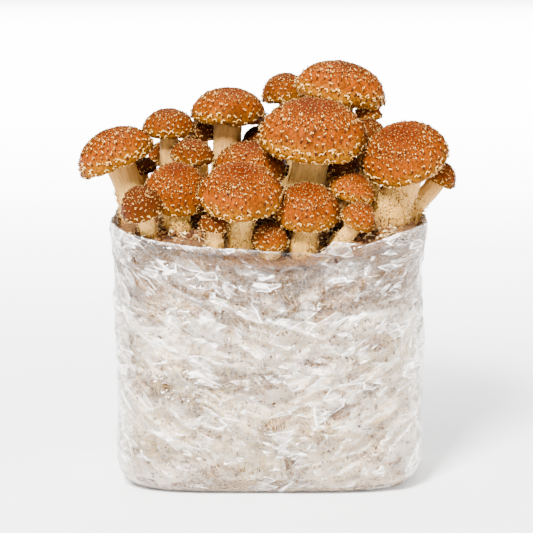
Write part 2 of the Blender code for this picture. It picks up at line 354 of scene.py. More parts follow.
@dataclass(frozen=True)
class CapFinish:
    """Skin of a cap: red brown at the top, orange lower down, yellow brown at the margin, and gills below."""

    top: tuple = (0.09, 0.0098, 0.0001, 1.0)
    middle: tuple = (0.185, 0.035, 0.0001, 1.0)
    margin: tuple = (0.208, 0.069, 0.0003, 1.0)
    # dark brown for random stains, and painted shade on whole caps by the attribute depth
    dark: tuple = (0.035, 0.007, 0.001, 1.0)
    gill: tuple = (0.22, 0.10, 0.03, 1.0)

    def material(self) -> bpy.types.Material:
        """Colour by the attributes across, depth and under, with fibrils that run down from the top."""
        g = Graph("cap_skin")
        across = g.attribute("across")
        place = g.place()
        patches = g.noise(place, 160.0, 3.0)
        stains = g.noise(place, 48.0, 4.0, 0.6)
        shifted = g.math("ADD", across, g.remap(patches, 0.2, 0.8, -0.14, 0.14))
        skin = g.ramp(
            shifted, ((0.05, self.top), (0.5, self.middle), (0.75, self.middle), (1.0, self.margin))
        )
        fibrils = g.noise(g.stretched(g.uv(), (90.0, 9.0, 1.0)), 10.0, 2.0)
        speckle = g.noise(place, 650.0, 3.0, 0.65)
        shade = g.math(
            "MULTIPLY", g.remap(fibrils, 0.3, 0.7, 0.78, 1.12), g.remap(speckle, 0.36, 0.62, 0.4, 1.25)
        )
        skin = g.mix(1.0, skin, g.grey(shade), "MULTIPLY")
        skin = g.mix(g.remap(stains, 0.5, 0.72, 0.0, 0.75), skin, self.dark)
        # painted shade: dark brown over whole caps by the attribute depth, most on caps that sit in shadow
        skin = g.mix(g.attribute("depth"), skin, self.dark)
        skin = g.mix(g.attribute("under"), skin, self.gill)
        height = g.math("ADD", fibrils, g.math("MULTIPLY", speckle, 0.7))
        shader = g.add(
            "BsdfPrincipled",
            Base_Color=skin,
            Roughness=g.remap(speckle, 0.3, 0.7, 0.45, 0.65),
            Specular_IOR_Level=0.06,
            Specular_Tint=(1.0, 0.5, 0.2, 1.0),
            Subsurface_Weight=0.04,
            Subsurface_Radius=(1.0, 0.4, 0.15),
            Subsurface_Scale=0.002,
            Normal=g.bump(height, 0.0003, 0.7),
        )
        return g.finish(shader)


@dataclass(frozen=True)
class TuftFinish:
    """Scales: brown where they leave the skin and cream at their tips."""

    root: tuple = (0.08, 0.02, 0.002, 1.0)
    middle: tuple = (0.50, 0.22, 0.03, 1.0)
    tip: tuple = (1.0, 0.6, 0.19, 1.0)
    # dark brown of the painted shadows on and beside the scales
    brown: tuple = (0.03, 0.006, 0.0005, 1.0)

    def material(self) -> bpy.types.Material:
        """Colour by the attributes along, from root to tip, and brown, the share of dark brown, mostly painted
        shadow.
        """
        g = Graph("cap_scales")
        stops = ((0.0, self.root), (0.2, self.root), (0.45, self.middle), (0.75, self.tip))
        colour = g.ramp(g.attribute("along"), stops)
        colour = g.mix(g.remap(g.attribute("brown"), 0.3, 0.8), colour, self.brown)
        shader = g.add(
            "BsdfPrincipled",
            Base_Color=colour,
            Roughness=g.remap(g.noise(g.place(), 700.0), 0.3, 0.7, 0.6, 0.8),
            Specular_IOR_Level=0.1,
            Subsurface_Weight=0.05,
            Subsurface_Radius=(1.0, 0.6, 0.3),
            Subsurface_Scale=0.001,
        )
        return g.finish(shader)


@dataclass(frozen=True)
class StemFinish:
    """Flesh of a stem: pinkish tan at the top, cream below, brown at the foot, with fine upright fibrils."""

    top: tuple = (0.45, 0.222, 0.05, 1.0)
    middle: tuple = (0.53, 0.29, 0.065, 1.0)
    low: tuple = (0.42, 0.215, 0.03, 1.0)
    # foot: the stem's own browner base, deepened to dark brown as painted shade between the crowded feet
    foot: tuple = (0.12, 0.045, 0.01, 1.0)

    def material(self) -> bpy.types.Material:
        """Colour by the attribute up, from the foot to the cap."""
        g = Graph("stem_flesh")
        fibrils = g.noise(g.stretched(g.uv(), (60.0, 6.0, 1.0)), 10.0, 3.0)
        patches = g.noise(g.place(), 220.0, 3.0)
        up = g.math("ADD", g.attribute("up"), g.remap(patches, 0.2, 0.8, -0.1, 0.1))
        # the dark foot colour over the lowest fifth is partly painted shade
        colour = g.ramp(
            up, ((0.0, self.foot), (0.22, self.low), (0.5, self.middle), (0.8, self.top), (1.0, self.top))
        )
        shade = g.remap(fibrils, 0.3, 0.7, 0.72, 1.12)
        wool = g.noise(g.place(), 420.0, 4.0, 0.7)
        colour = g.mix(1.0, colour, g.grey(shade), "MULTIPLY")
        colour = g.mix(g.remap(wool, 0.52, 0.72, 0.0, 0.55), colour, self.foot)
        shader = g.add(
            "BsdfPrincipled",
            Base_Color=colour,
            Roughness=g.remap(patches, 0.3, 0.7, 0.6, 0.8),
            Specular_IOR_Level=0.15,
            Subsurface_Weight=0.12,
            Subsurface_Radius=(1.0, 0.6, 0.35),
            Subsurface_Scale=0.003,
            Normal=g.bump(g.math("ADD", fibrils, wool), 0.0006, 0.7),
        )
        return g.finish(shader)


# Mushrooms


@dataclass(frozen=True)
class Mushroom:
    """Sizes and place of one mushroom, the same as in the CAD model."""

    number: int
    cap: tuple[float, float, float]
    radius: float
    dome: float
    lean_right: float
    lean_front: float
    foot: tuple[float, float]
    stem: float
    tone: Tone = Tone.CHESTNUT
    wrinkled: bool = False

    @property
    def axis(self) -> Array:
        """Unit vector from the gills to the top of the dome."""
        right = math.tan(math.radians(self.lean_right))
        front = math.tan(math.radians(self.lean_front))
        return unit(np.array([right, -front, 1.0]))

    def across(self) -> tuple[Array, Array]:
        """Two unit vectors square to the axis, the first one towards +X."""
        axis = self.axis
        side = unit(np.array([1.0, 0.0, 0.0]) - axis * axis[0])
        return side, np.cross(axis, side)


MUSHROOMS = (
    Mushroom(1, (-99.3, -8, 214.5), 25.8, 20.5, -22, 0, (-87, -6), 9.5),
    Mushroom(2, (-67, 20, 229.5), 17.3, 15.0, 0, 2, (-69, 18), 5.8, Tone.DEEP),
    Mushroom(3, (-27.5, 38, 237), 25.0, 19.8, 2, 0, (-32, 42), 9.3, Tone.CHESTNUT),
    Mushroom(4, (-46.5, 53, 221.5), 12.4, 11.0, -4, 0, (-46, 53.5), 4.4, Tone.SHADOWED),
    Mushroom(5, (-51, 3, 214), 14.3, 12.0, 6, 8, (-46, 4), 4.6, Tone.DEEP),
    Mushroom(6, (-60, -30, 193.5), 20.8, 22.0, 8, 26, (-59, -38), 7.8),
    Mushroom(7, (-18.1, -52, 196.8), 26.8, 19.5, 0, 21, (-18, -46), 7.8, Tone.CHESTNUT, True),
    Mushroom(8, (-80, -56, 187.5), 13.4, 17.0, -16, 16, (-77, -45), 5.2, Tone.SHADOWED),
    Mushroom(9, (-86, 19, 203), 11.0, 9.0, -8, 0, (-85, 20), 4.6, Tone.SHADOWED),
    Mushroom(10, (-35.4, -54, 177), 9.3, 10.0, 3, 4, (-34, -52), 5.0, Tone.SHADOWED),
    Mushroom(11, (0.6, -53, 166.5), 11.4, 13.0, 0, 10, (0.5, -49), 6.2, Tone.DEEP),
    Mushroom(12, (-12, 5, 205), 24.8, 19.0, 0, 9, (-10, 8), 7.5, Tone.CHESTNUT),
    Mushroom(13, (11.5, 63, 247.8), 16.0, 16.5, -6, 0, (13, 52), 4.8, Tone.DEEP),
    Mushroom(14, (48, 37, 252.6), 30.5, 22.0, 11, 0, (51, 35), 10.2, Tone.LIGHT),
    Mushroom(15, (28.5, -16, 228.2), 35.0, 26.5, 2, 13, (20, -5), 11.6, Tone.LIGHT),
    Mushroom(16, (-5, 39, 220), 13.0, 11.0, -8, 0, (-7, 40), 4.4, Tone.SHADOWED),
    Mushroom(17, (24.2, -42, 183.6), 21.0, 20.0, 0, 19, (21.5, -45), 7.8),
    Mushroom(18, (53.2, -29, 195), 15.0, 13.2, 18, 8, (54, -24), 5.2, Tone.LIGHT),
    Mushroom(19, (56, -50.5, 180), 11.1, 13.0, 25, 14, (42.5, -46), 4.9),
    Mushroom(20, (88.3, -22, 217.0), 28.2, 21.5, -16, 26, (76, -19), 11.3, Tone.CHESTNUT, True),
    Mushroom(21, (112, 4, 199.5), 11.6, 12.0, 27, 4, (91, 4), 6.0, Tone.DEEP),
    Mushroom(22, (66, 27, 237.5), 9.8, 8.5, -8, 0, (72, 36), 4.2, Tone.DEEP),
    Mushroom(23, (48, 1, 206), 12.0, 12.0, 0, 6, (47.5, 1), 4.4, Tone.SHADOWED),
    Mushroom(24, (67, 11.8, 224), 11.4, 14.5, 0, 0, (56, 14), 7.4, Tone.SHADOWED),
    Mushroom(25, (-67.5, 53, 205), 16.0, 15.0, -6, -6, (-68, 45), 6.6, Tone.DEEP),
    Mushroom(26, (-10, 58, 192), 12.4, 11.0, -6, -20, (-12, 52), 5.0),
    Mushroom(27, (99, 40, 203), 19.0, 15.0, 10, -18, (88, 28), 7.0),
    Mushroom(28, (38, 58, 186), 13.0, 13.0, -4, -20, (33, 51), 5.4, Tone.DEEP),
)


@dataclass(frozen=True)
class CapShape:
    """Shape of a cap's skin and gills, in shares of its radius where nothing else is said."""

    mushroom: Mushroom
    tuck: float = 0.07
    lip_depth: float = 0.13
    dome_rows: int = 40
    lip_rows: int = 7
    gill_rows: int = 9
    gill_pitch_mm: float = 1.1
    gill_relief_mm: float = 0.55

    @property
    def columns(self) -> int:
        """Points round the cap, two to a gill."""
        return 2 * max(34, round(2.0 * math.pi * self.mushroom.radius / (2.0 * self.gill_pitch_mm)))

    def dome(self, along: Array, turn: Array) -> Array:
        """Place on the skin, before wrinkles.

        The section is r = R sin(a), z = H cos(a), with a = 90 degrees times along up to the widest ring, and
        below it r = R (1 - tuck s^2), z = -lip_depth R s, with s the lip's share, for along from 1 to 1.2.

        Args:
            along: 0 at the top, 1 at the widest ring, 1.2 at the lip.
            turn: Angle round the axis in radians.

        Returns:
            Places in millimetres.
        """
        m = self.mushroom
        steep = np.clip(along, 0.0, 1.0) * (0.5 * math.pi)
        lip = np.clip((along - 1.0) / 0.2, 0.0, 1.0)
        wave = noise(
            flat(1.6 * np.cos(turn), 1.6 * np.sin(turn), 0.7 * np.minimum(along, 1.0)), 1.0, m.number
        )
        reach = m.radius * (np.sin(steep) - self.tuck * lip**2) * (1.0 + 0.035 * wave * np.sin(steep))
        ripple = noise(flat(3.0 * np.cos(turn), 3.0 * np.sin(turn)), 1.0, m.number + 60, 2)
        sag = 0.05 * m.radius * ripple * smooth_step(0.6, 1.2, along)
        height = m.dome * np.cos(steep) - self.lip_depth * m.radius * lip + sag
        side, other = m.across()
        out = np.cos(turn)[..., None] * side + np.sin(turn)[..., None] * other
        return np.array(m.cap) + reach[..., None] * out + height[..., None] * m.axis

    def bumps(self, along: Array, place: Array) -> Array:
        """How far the skin's small bumps stand out, with rings of wrinkles round the top of some caps."""
        m = self.mushroom
        height = 0.35 * noise(place, 4.0, 5, 2)
        if m.wrinkled:
            arc = along * m.radius * 1.3 + 1.2 * noise(place, 7.0, 8)
            height = height + 0.5 * np.sin(arc * 1.7) * smooth_step(0.6, 0.15, along)
        return height

    def frames(self, along: Array, turn: Array) -> tuple[Array, Array, Array]:
        """Place, unit vector towards the top and outward unit normal on the skin."""
        step = 0.01
        place = self.dome(along, turn)
        upward = unit(self.dome(np.maximum(along - step, 0.0), turn) - self.dome(along + step, turn))
        aside = unit(self.dome(along, turn + step) - self.dome(along, turn - step))
        normal = unit(np.cross(aside, upward))
        return place + normal * self.bumps(along, place)[..., None], upward, normal

    def surface(self) -> Surface:
        """The whole cap: bumpy skin, a rounded lip, and gills that fold in and out as they run inwards."""
        m = self.mushroom
        columns = self.columns
        turns = 2.0 * math.pi * np.arange(columns) / columns
        alongs = np.concatenate(
            [np.linspace(0.03, 1.0, self.dome_rows), np.linspace(1.0, 1.2, self.lip_rows + 1)[1:]]
        )
        along, turn = np.meshgrid(alongs, turns, indexing="ij")
        place, _, _ = self.frames(along, turn)
        side, other = m.across()
        out = np.cos(turns)[:, None] * side + np.sin(turns)[:, None] * other
        lip = place[-1]
        rows = [
            lip - 0.35 * out - 0.45 * m.axis, lip - 1.0 * out - 0.3 * m.axis, lip - 1.5 * out + 0.4 * m.axis
        ]
        inner = 0.85 * m.stem
        for share in np.linspace(0.0, 1.0, self.gill_rows):
            reach = (1.0 - share) * (m.radius * (1.0 - self.tuck) - 2.0) + share * inner
            depth = self.lip_depth * m.radius - 1.0
            level = -depth * (1.0 - share) ** 1.4 - 0.5
            relief = self.gill_relief_mm * math.sin(math.pi * min(1.0, share + 0.12))
            fold = relief * np.where(np.arange(columns) % 2, 1.0, -1.0)
            rows.append(np.array(m.cap) + reach * out + (level + fold)[:, None] * m.axis)
        rings = np.concatenate([place, np.array(rows)])
        total = len(rings)
        hubs = [self.dome(np.zeros(1), np.zeros(1)), np.array([m.cap]) - 0.4 * m.axis]
        points = np.concatenate([rings.reshape(-1, 3), *hubs])
        hub = total * columns
        top = fan_faces(hub, np.arange(columns), True)
        bottom = fan_faces(hub + 1, np.arange(columns) + (total - 1) * columns, False)
        across = np.concatenate([alongs, np.full(len(rows), 1.1)])
        under = np.concatenate([np.zeros(len(alongs)), np.array([0.3, 0.8]), np.ones(len(rows) - 2)])
        ends = np.array([0.0, 1.0])
        # depth: the cap's share of dark brown, painted shade on caps that sit in shadow
        depth = np.full(len(points), m.tone.value)
        arc = across * m.radius * 1.3 * MM
        uv = flat(np.tile(turns * m.radius * 0.6 * MM, total), np.repeat(arc, columns))[:, :2]
        return Surface(
            points,
            [grid_faces(total, columns), top, bottom],
            {
                "across": np.concatenate([np.repeat(across, columns), ends]),
                "under": np.concatenate([np.repeat(under, columns), ends]),
                "depth": depth,
            },
            np.concatenate([uv, uv[:1], uv[-1:]]),
        )


@dataclass
class Fingers:
    """Many small tapered fingers, each one a bent three-sided spike, flattened onto what it grows from."""

    origin: Array
    along: Array
    normal: Array
    length: Array
    width: Array
    lift: Array
    curl: Array
    brown: Array

    @staticmethod
    def joined(parts: list[Fingers]) -> Fingers:
        """All the fingers of several batches."""
        names = ("origin", "along", "normal", "length", "width", "lift", "curl", "brown")
        return Fingers(*(np.concatenate([getattr(part, name) for part in parts]) for name in names))

    def surface(self, edge_shadow: float) -> Surface:
        """Spikes of three rings each: the middle line is o + L (s d + (lift s + curl s^2) n).

        Args:
            edge_shadow: Share of dark brown along the two lower edges, a painted shadow under each spike.

        Returns:
            The spikes.
        """
        shares = np.array([0.0, 0.55, 1.0])
        thick = np.array([1.0, 0.85, 0.3])
        aside = unit(np.cross(self.along, self.normal))
        rise = self.lift[:, None] * shares + self.curl[:, None] * shares**2
        reach = self.length[:, None, None]
        way = shares[:, None] * self.along[:, None] + rise[..., None] * self.normal[:, None]
        middle = self.origin[:, None] + reach * way
        corners = np.radians([90.0, 210.0, 330.0])
        half = 0.5 * self.width[:, None, None, None] * thick[None, :, None, None]
        across = np.cos(corners)[:, None] * aside[:, None, None]
        over = 0.6 * np.sin(corners)[:, None] * self.normal[:, None, None]
        rings = middle[:, :, None] + half * (across + over)
        count = len(self.origin)
        base = (np.arange(count) * 9)[:, None]
        sides = []
        for row in range(2):
            for corner in range(3):
                after = (corner + 1) % 3
                sides.append(
                    np.array([row * 3 + corner, row * 3 + after, row * 3 + 3 + after, row * 3 + 3 + corner])
                )
        quads = (base[:, None] + np.array(sides)[None]).reshape(-1, 4)
        ends = (base[:, None] + np.array([[0, 2, 1], [6, 7, 8]])[None]).reshape(-1, 3)
        along = np.broadcast_to(shares[None, :, None], (count, 3, 3)).reshape(-1)
        # painted shadow: dark brown along the two lower edges of each spike
        edge = np.broadcast_to(np.array([0.0, edge_shadow, edge_shadow]), (count, 3, 3)).reshape(-1)
        brown = np.maximum(np.repeat(self.brown, 9), edge)
        return Surface(rings.reshape(-1, 3), [quads, ends], {"along": along, "brown": brown})


def turned(vector: Array, normal: Array, angle: Array) -> Array:
    """Each vector turned about its normal: v cos(a) + (n x v) sin(a)."""
    return vector * np.cos(angle)[:, None] + np.cross(normal, vector) * np.sin(angle)[:, None]


def apart(places: Array, spacing: float, rng: np.random.Generator) -> Array:
    """Picks places that keep their distance: each round takes those that rank first within the spacing.

    Args:
        places: Places to choose from, one per row.
        spacing: Least distance between two that are picked.
        rng: Where the ranks come from.

    Returns:
        The numbers of the rows picked.
    """
    square = (places**2).sum(axis=1)
    near = square[:, None] + square - 2.0 * places @ places.T < spacing**2
    np.fill_diagonal(near, False)
    rank = rng.permutation(len(places)) + 1
    waiting = np.ones(len(places), bool)
    kept = np.zeros(len(places), bool)
    while waiting.any():
        best = (near * np.where(waiting, rank, 0)).max(axis=1)
        chosen = waiting & (rank > best)
        kept |= chosen
        waiting &= ~chosen & ~near[:, chosen].any(axis=1)
    return np.flatnonzero(kept)


@dataclass
class CapScales:
    """The scales of one cap: dots at the top, forked tufts below, crowns near the margin, and a fringe."""

    shape: CapShape
    rng: np.random.Generator
    tuft_spacing: float = 5.0
    dot_spacing: float = 2.55
    crown_spacing: float = 6.8
    fringe_spacing: float = 2.2

    @property
    def size(self) -> float:
        """Size of this cap's scales, 1 on a large cap."""
        return min(1.0, 0.42 + self.shape.mushroom.radius / 56.0)

    def spread(self, low: float, high: float, spacing: float) -> tuple[Array, Array]:
        """Random places on the dome, about a spacing apart, between two shares of the way down."""
        m = self.shape.mushroom
        spacing = spacing * self.size
        low_area = 1.0 - math.cos(0.5 * math.pi * low)
        high_area = 1.0 - math.cos(0.5 * math.pi * min(high, 1.0))
        stretch = 0.5 + 0.5 * m.dome / m.radius
        area = 2.0 * math.pi * m.radius**2 * stretch * (high_area - low_area)
        count = max(30, round(4.0 * area / spacing**2))
        share = low_area + (high_area - low_area) * self.rng.uniform(0.0, 1.0, count)
        along = np.arccos(np.clip(1.0 - share, 0.0, 1.0)) / (0.5 * math.pi)
        turn = self.rng.uniform(0.0, 2.0 * math.pi, count)
        kept = apart(self.shape.dome(along, turn), 0.78 * spacing, self.rng)
        return along[kept], turn[kept]

    def forks(
        self,
        along: Array,
        turn: Array,
        fingers: tuple[int, int],
        length: tuple[float, float],
        width: tuple[float, float],
        fan: float,
        twist: float,
        lift: float,
        brown: float,
        sink: float = -0.12,
        ring: float = 0.15,
    ) -> Fingers:
        """Tufts of fingers that share a root.

        Args:
            along: Share of the way down for each tuft.
            turn: Angle round the cap for each tuft.
            fingers: Fewest and most fingers in a tuft.
            length: Shortest and longest finger.
            width: Thinnest and thickest finger.
            fan: Angle in radians between the outermost fingers.
            twist: Largest turn of a whole tuft away from the top, in radians.
            lift: How steeply the fingers rise.
            brown: Mean share of dark brown; at 1 it makes a painted shadow mark.
            sink: How far the root stands out of the skin.
            ring: How far each finger starts from the middle of its tuft.

        Returns:
            The fingers.
        """
        rng = self.rng
        counts = rng.integers(fingers[0], fingers[1] + 1, len(along))
        which = np.repeat(np.arange(len(along)), counts)
        order = np.arange(len(which)) - np.repeat(np.cumsum(counts) - counts, counts)
        place, upward, normal = self.shape.frames(along[which], turn[which])
        position = (order + 0.5) / counts[which] - 0.5
        whole = rng.uniform(-twist, twist, len(along))[which]
        angle = whole + fan * position + rng.normal(0.0, 0.12, len(which))
        size = rng.uniform(0.75, 1.2, len(along))[which] * self.size
        direction = turned(upward, normal, angle)
        reach = rng.uniform(*length, len(which)) * size
        thick = rng.uniform(*width, len(which)) * size
        return Fingers(
            place + sink * normal + ring * direction,
            direction,
            normal,
            reach,
            thick,
            rng.uniform(0.6, 1.4, len(which)) * lift,
            rng.uniform(-0.3, 0.5, len(which)) * lift,
            np.clip(rng.normal(brown, 0.1, len(which)), 0.0, 1.0),
        )

    def fingers(self) -> Fingers:
        """All the fingers of the cap."""
        m = self.shape.mushroom
        rng = self.rng
        dots = self.spread(0.0, 0.6, self.dot_spacing)
        tufts = self.spread(0.38, 0.97, self.tuft_spacing)
        around = 2.0 * math.pi * m.radius
        crowns = max(6, round(around / self.crown_spacing))
        order = np.arange(2 * crowns)
        crown_turn = (order + rng.uniform(-0.35, 0.35, 2 * crowns)) * math.pi / crowns
        crown_along = np.where(order % 2, 0.94, 1.08) + rng.uniform(-0.05, 0.05, 2 * crowns)
        clumps = round(around / self.fringe_spacing)
        turn = (np.arange(clumps) + rng.uniform(-0.5, 0.5, clumps)) * 2.0 * math.pi / clumps
        turn = turn[rng.uniform(0.0, 1.0, clumps) < 0.8]
        lip = 1.2 + rng.uniform(-0.04, 0.0, len(turn))
        # The lip's fringe hangs down; the dark brown copies of the dots and tufts that point down are painted
        # shadows beside the scales.
        down = Fingers.joined(
            [
                self.forks(lip, turn, (3, 4), (0.8, 1.7), (1.4, 2.0), 1.9, 0.5, 0.25, 0.0),
                self.forks(dots[0] + 0.008, dots[1], (1, 1), (0.9, 1.5), (0.9, 1.3), 0.0, 0.9, 0.1, 1.0, 0.1),
                self.forks(
                    tufts[0] + 0.012, tufts[1], (1, 2), (1.2, 2.0), (1.2, 1.7), 1.6, 0.6, 0.1, 1.0, 0.1
                ),
            ]
        )
        down.along = -down.along
        return Fingers.joined(
            [
                down,
                self.forks(*dots, (1, 2), (0.6, 1.0), (0.6, 0.85), 1.8, 2.6, 0.35, 0.08, 0.12),
                self.forks(*tufts, (1, 3), (1.1, 1.9), (0.95, 1.35), 2.5, 1.0, 0.7, 0.0, 0.12),
                self.forks(
                    crown_along, crown_turn, (4, 6), (1.2, 2.0), (1.6, 2.2), 3.4, 0.9, 0.65, 0.0, 0.1, 0.3
                ),
            ]
        )


@dataclass(frozen=True)
class BlockTop:
    """Height of the block's top, as in the CAD model."""

    level: float = 173.5
    front_dip: float = 16.0
    dip_x: float = 14.0
    left_spread: float = 40.0
    right_spread: float = 33.0
    back_dip: float = 6.0

    def height(self, x: Array, y: Array) -> Array:
        """level - front_dip exp(-(x - dip_x)^2 / 2 spread^2) at the front - back_dip at the back + lumps."""
        spread = np.where(np.asarray(x) < self.dip_x, self.left_spread, self.right_spread)
        dip = self.front_dip * np.exp(-0.5 * ((x - self.dip_x) / spread) ** 2) * smooth_step(-8.0, -48.0, y)
        lumps = 0.9 * np.sin(np.asarray(x) / 9.0 + 1.0) * np.sin(np.asarray(y) / 8.0)
        return self.level - dip - self.back_dip * smooth_step(5.0, 50.0, y) + lumps


@dataclass(frozen=True)
class StemShape:
    """A stem: a bent tube that leaves the block nearly upright, meets the cap square and is shaggy below."""

    mushroom: Mushroom
    top: BlockTop
    columns: int = 40
    rows: int = 46
    buried: float = 3.0

    def controls(self) -> Array:
        """The four control points of the stem's middle line."""
        m = self.mushroom
        x, y = m.foot
        foot = np.array([x, y, float(self.top.height(x, y)) - self.buried])
        head = np.array(m.cap) + 0.8 * m.axis
        reach = float(np.linalg.norm(head - foot))
        leave = unit(np.array([0.0, 0.0, 1.4]) + unit(head - foot))
        return np.array([foot, foot + leave * reach * 0.35, head - m.axis * reach * 0.4, head])

    def line(self, share: Array) -> tuple[Array, Array]:
        """Middle line and its direction: the cubic Bezier curve through the control points."""
        rest = 1.0 - share
        weights = [rest**3, 3 * share * rest**2, 3 * share**2 * rest, share**3]
        points = np.stack(weights, axis=-1) @ self.controls()
        rates = [-3 * rest**2, 3 * rest**2 - 6 * share * rest, 6 * share * rest - 3 * share**2, 3 * share**2]
        slopes = np.stack(rates, axis=-1)
        return points, unit(slopes @ self.controls())

    def skin(self, share: Array, turn: Array) -> tuple[Array, Array, Array]:
        """Place, direction up the stem and outward normal; the radius swells at the foot and at the cap."""
        m = self.mushroom
        middle, slope = self.line(share)
        side = unit(np.array([1.0, 0.0, 0.0]) - slope * slope[..., :1])
        other = np.cross(slope, side)
        out = np.cos(turn)[..., None] * side + np.sin(turn)[..., None] * other
        swelling = 1.0 + 0.24 * (1.0 - share) ** 3 + 0.1 * share**6
        lumps = noise(flat(1.3 * np.cos(turn), 1.3 * np.sin(turn), 4.0 * share), 1.0, m.number + 90, 2)
        radius = m.stem * (swelling + 0.06 * lumps)
        return middle + radius[..., None] * out, slope, out

    def surface(self) -> Surface:
        """The stem's skin with upright ribs and shaggy ridges low down, closed at both ends."""
        m = self.mushroom
        shares = np.linspace(1.0, 0.0, self.rows)
        turns = 2.0 * math.pi * np.arange(self.columns) / self.columns
        share, turn = np.meshgrid(shares, turns, indexing="ij")
        place, _, out = self.skin(share, turn)
        ribs = noise(flat(5.0 * np.cos(turn), 5.0 * np.sin(turn), 1.6 * share), 1.0, m.number + 20, 2)
        shag = noise(place * np.array([1.0, 1.0, 0.7]), 2.4, 77, 2) * smooth_step(0.75, 0.3, share)
        place = place + out * (0.22 * ribs + 0.55 * shag)[..., None]
        count = self.rows * self.columns
        ends, _ = self.line(np.array([1.0, 0.0]))
        points = np.concatenate([place.reshape(-1, 3), ends])
        faces = [
            grid_faces(self.rows, self.columns),
            fan_faces(count, np.arange(self.columns), True),
            fan_faces(count + 1, np.arange(self.columns) + (self.rows - 1) * self.columns, False),
        ]
        up = np.concatenate([share.reshape(-1), [1.0, 0.0]])
        reach = np.linalg.norm(np.diff(self.controls(), axis=0), axis=1).sum() * MM
        uv = flat(turn.reshape(-1) * m.stem * MM, share.reshape(-1) * reach)[:, :2]
        return Surface(points, faces, {"up": up}, np.concatenate([uv, uv[:1], uv[-1:]]))

    def shag(self, rng: np.random.Generator) -> Fingers:
        """Upturned scales on the lower part, thinning out towards the cap."""
        m = self.mushroom
        reach = float(np.linalg.norm(self.controls()[3] - self.controls()[0]))
        count = round(2.0 * math.pi * m.stem * reach * 0.5 / 3.4)
        share = 0.04 + 0.5 * rng.uniform(0.0, 1.0, count) ** 1.25
        turn = rng.uniform(0.0, 2.0 * math.pi, count)
        place, slope, out = self.skin(share, turn)
        aside = np.cross(slope, out)
        angle = rng.normal(0.0, 0.35, count)
        direction = unit(slope * np.cos(angle)[:, None] + aside * np.sin(angle)[:, None])
        return Fingers(
            place - 0.1 * out,
            direction,
            out,
            rng.uniform(1.2, 3.2, count),
            rng.uniform(0.5, 1.1, count),
            rng.uniform(0.15, 0.55, count),
            rng.uniform(0.0, 0.5, count),
            # painted shade: every stem scale gets some dark brown, and more near the foot, where the stem is
            # also browner
            np.clip(rng.normal(0.3, 0.12, count) + 0.5 * smooth_step(0.25, 0.05, share), 0.0, 1.0),
        )


@dataclass
class MushroomCrowd:
    """All the mushrooms with their caps, stems and scales."""

    mushrooms: tuple[Mushroom, ...] = MUSHROOMS
    top: BlockTop = field(default_factory=BlockTop)
    seed: int = 11

    def build(self) -> None:
        """Makes a cap, a stem and the scales of both for each mushroom."""
        skin = CapFinish().material()
        scales = TuftFinish().material()
        flesh = StemFinish().material()
        for m in self.mushrooms:
            rng = np.random.default_rng(self.seed + m.number)
            shape = CapShape(m)
            stem = StemShape(m, self.top)
            label = f"{m.number:02d}"
            add_piece(f"cap_skin_{label}", shape.surface(), skin, (f"cap_{label}",))
            add_piece(f"cap_scales_{label}", CapScales(shape, rng).fingers().surface(0.8), scales)
            add_piece(f"stem_skin_{label}", stem.surface(), flesh, (f"stem_{label}",))
            add_piece(f"stem_scales_{label}", stem.shag(rng).surface(0.42), scales)


# Bag and block


@dataclass(frozen=True)
class PhotoView:
    """The view that the creases and patches are given in: image columns and rows of the front's picture."""

    centre: float = 266.5
    focal: float = 1949.0
    distance: float = 1300.0
    elevation: float = math.radians(11.0)
    aim_x: float = -1.67
    aim_z: float = 141.0

    def front(self, columns: Array, rows: Array, form: BagForm) -> tuple[Array, Array]:
        """Sideways place and height on the front wall of what the picture shows at a column and row."""
        sine, cosine = math.sin(self.elevation), math.cos(self.elevation)
        x = np.zeros(np.shape(columns))
        z = x
        for _ in range(4):
            bend = 1.0 - np.minimum(np.abs(x) / form.half_width, 0.999) ** form.power
            y = -form.half_depth * bend ** (1.0 / form.power)
            rise = (self.centre - np.asarray(rows, float)) / self.focal
            lift = (rise * (self.distance + y * cosine) - y * sine) / (cosine + rise * sine)
            depth = self.distance + y * cosine - lift * sine
            x = (np.asarray(columns, float) - self.centre) * depth / self.focal + self.aim_x
            z = lift + self.aim_z
        return x, z


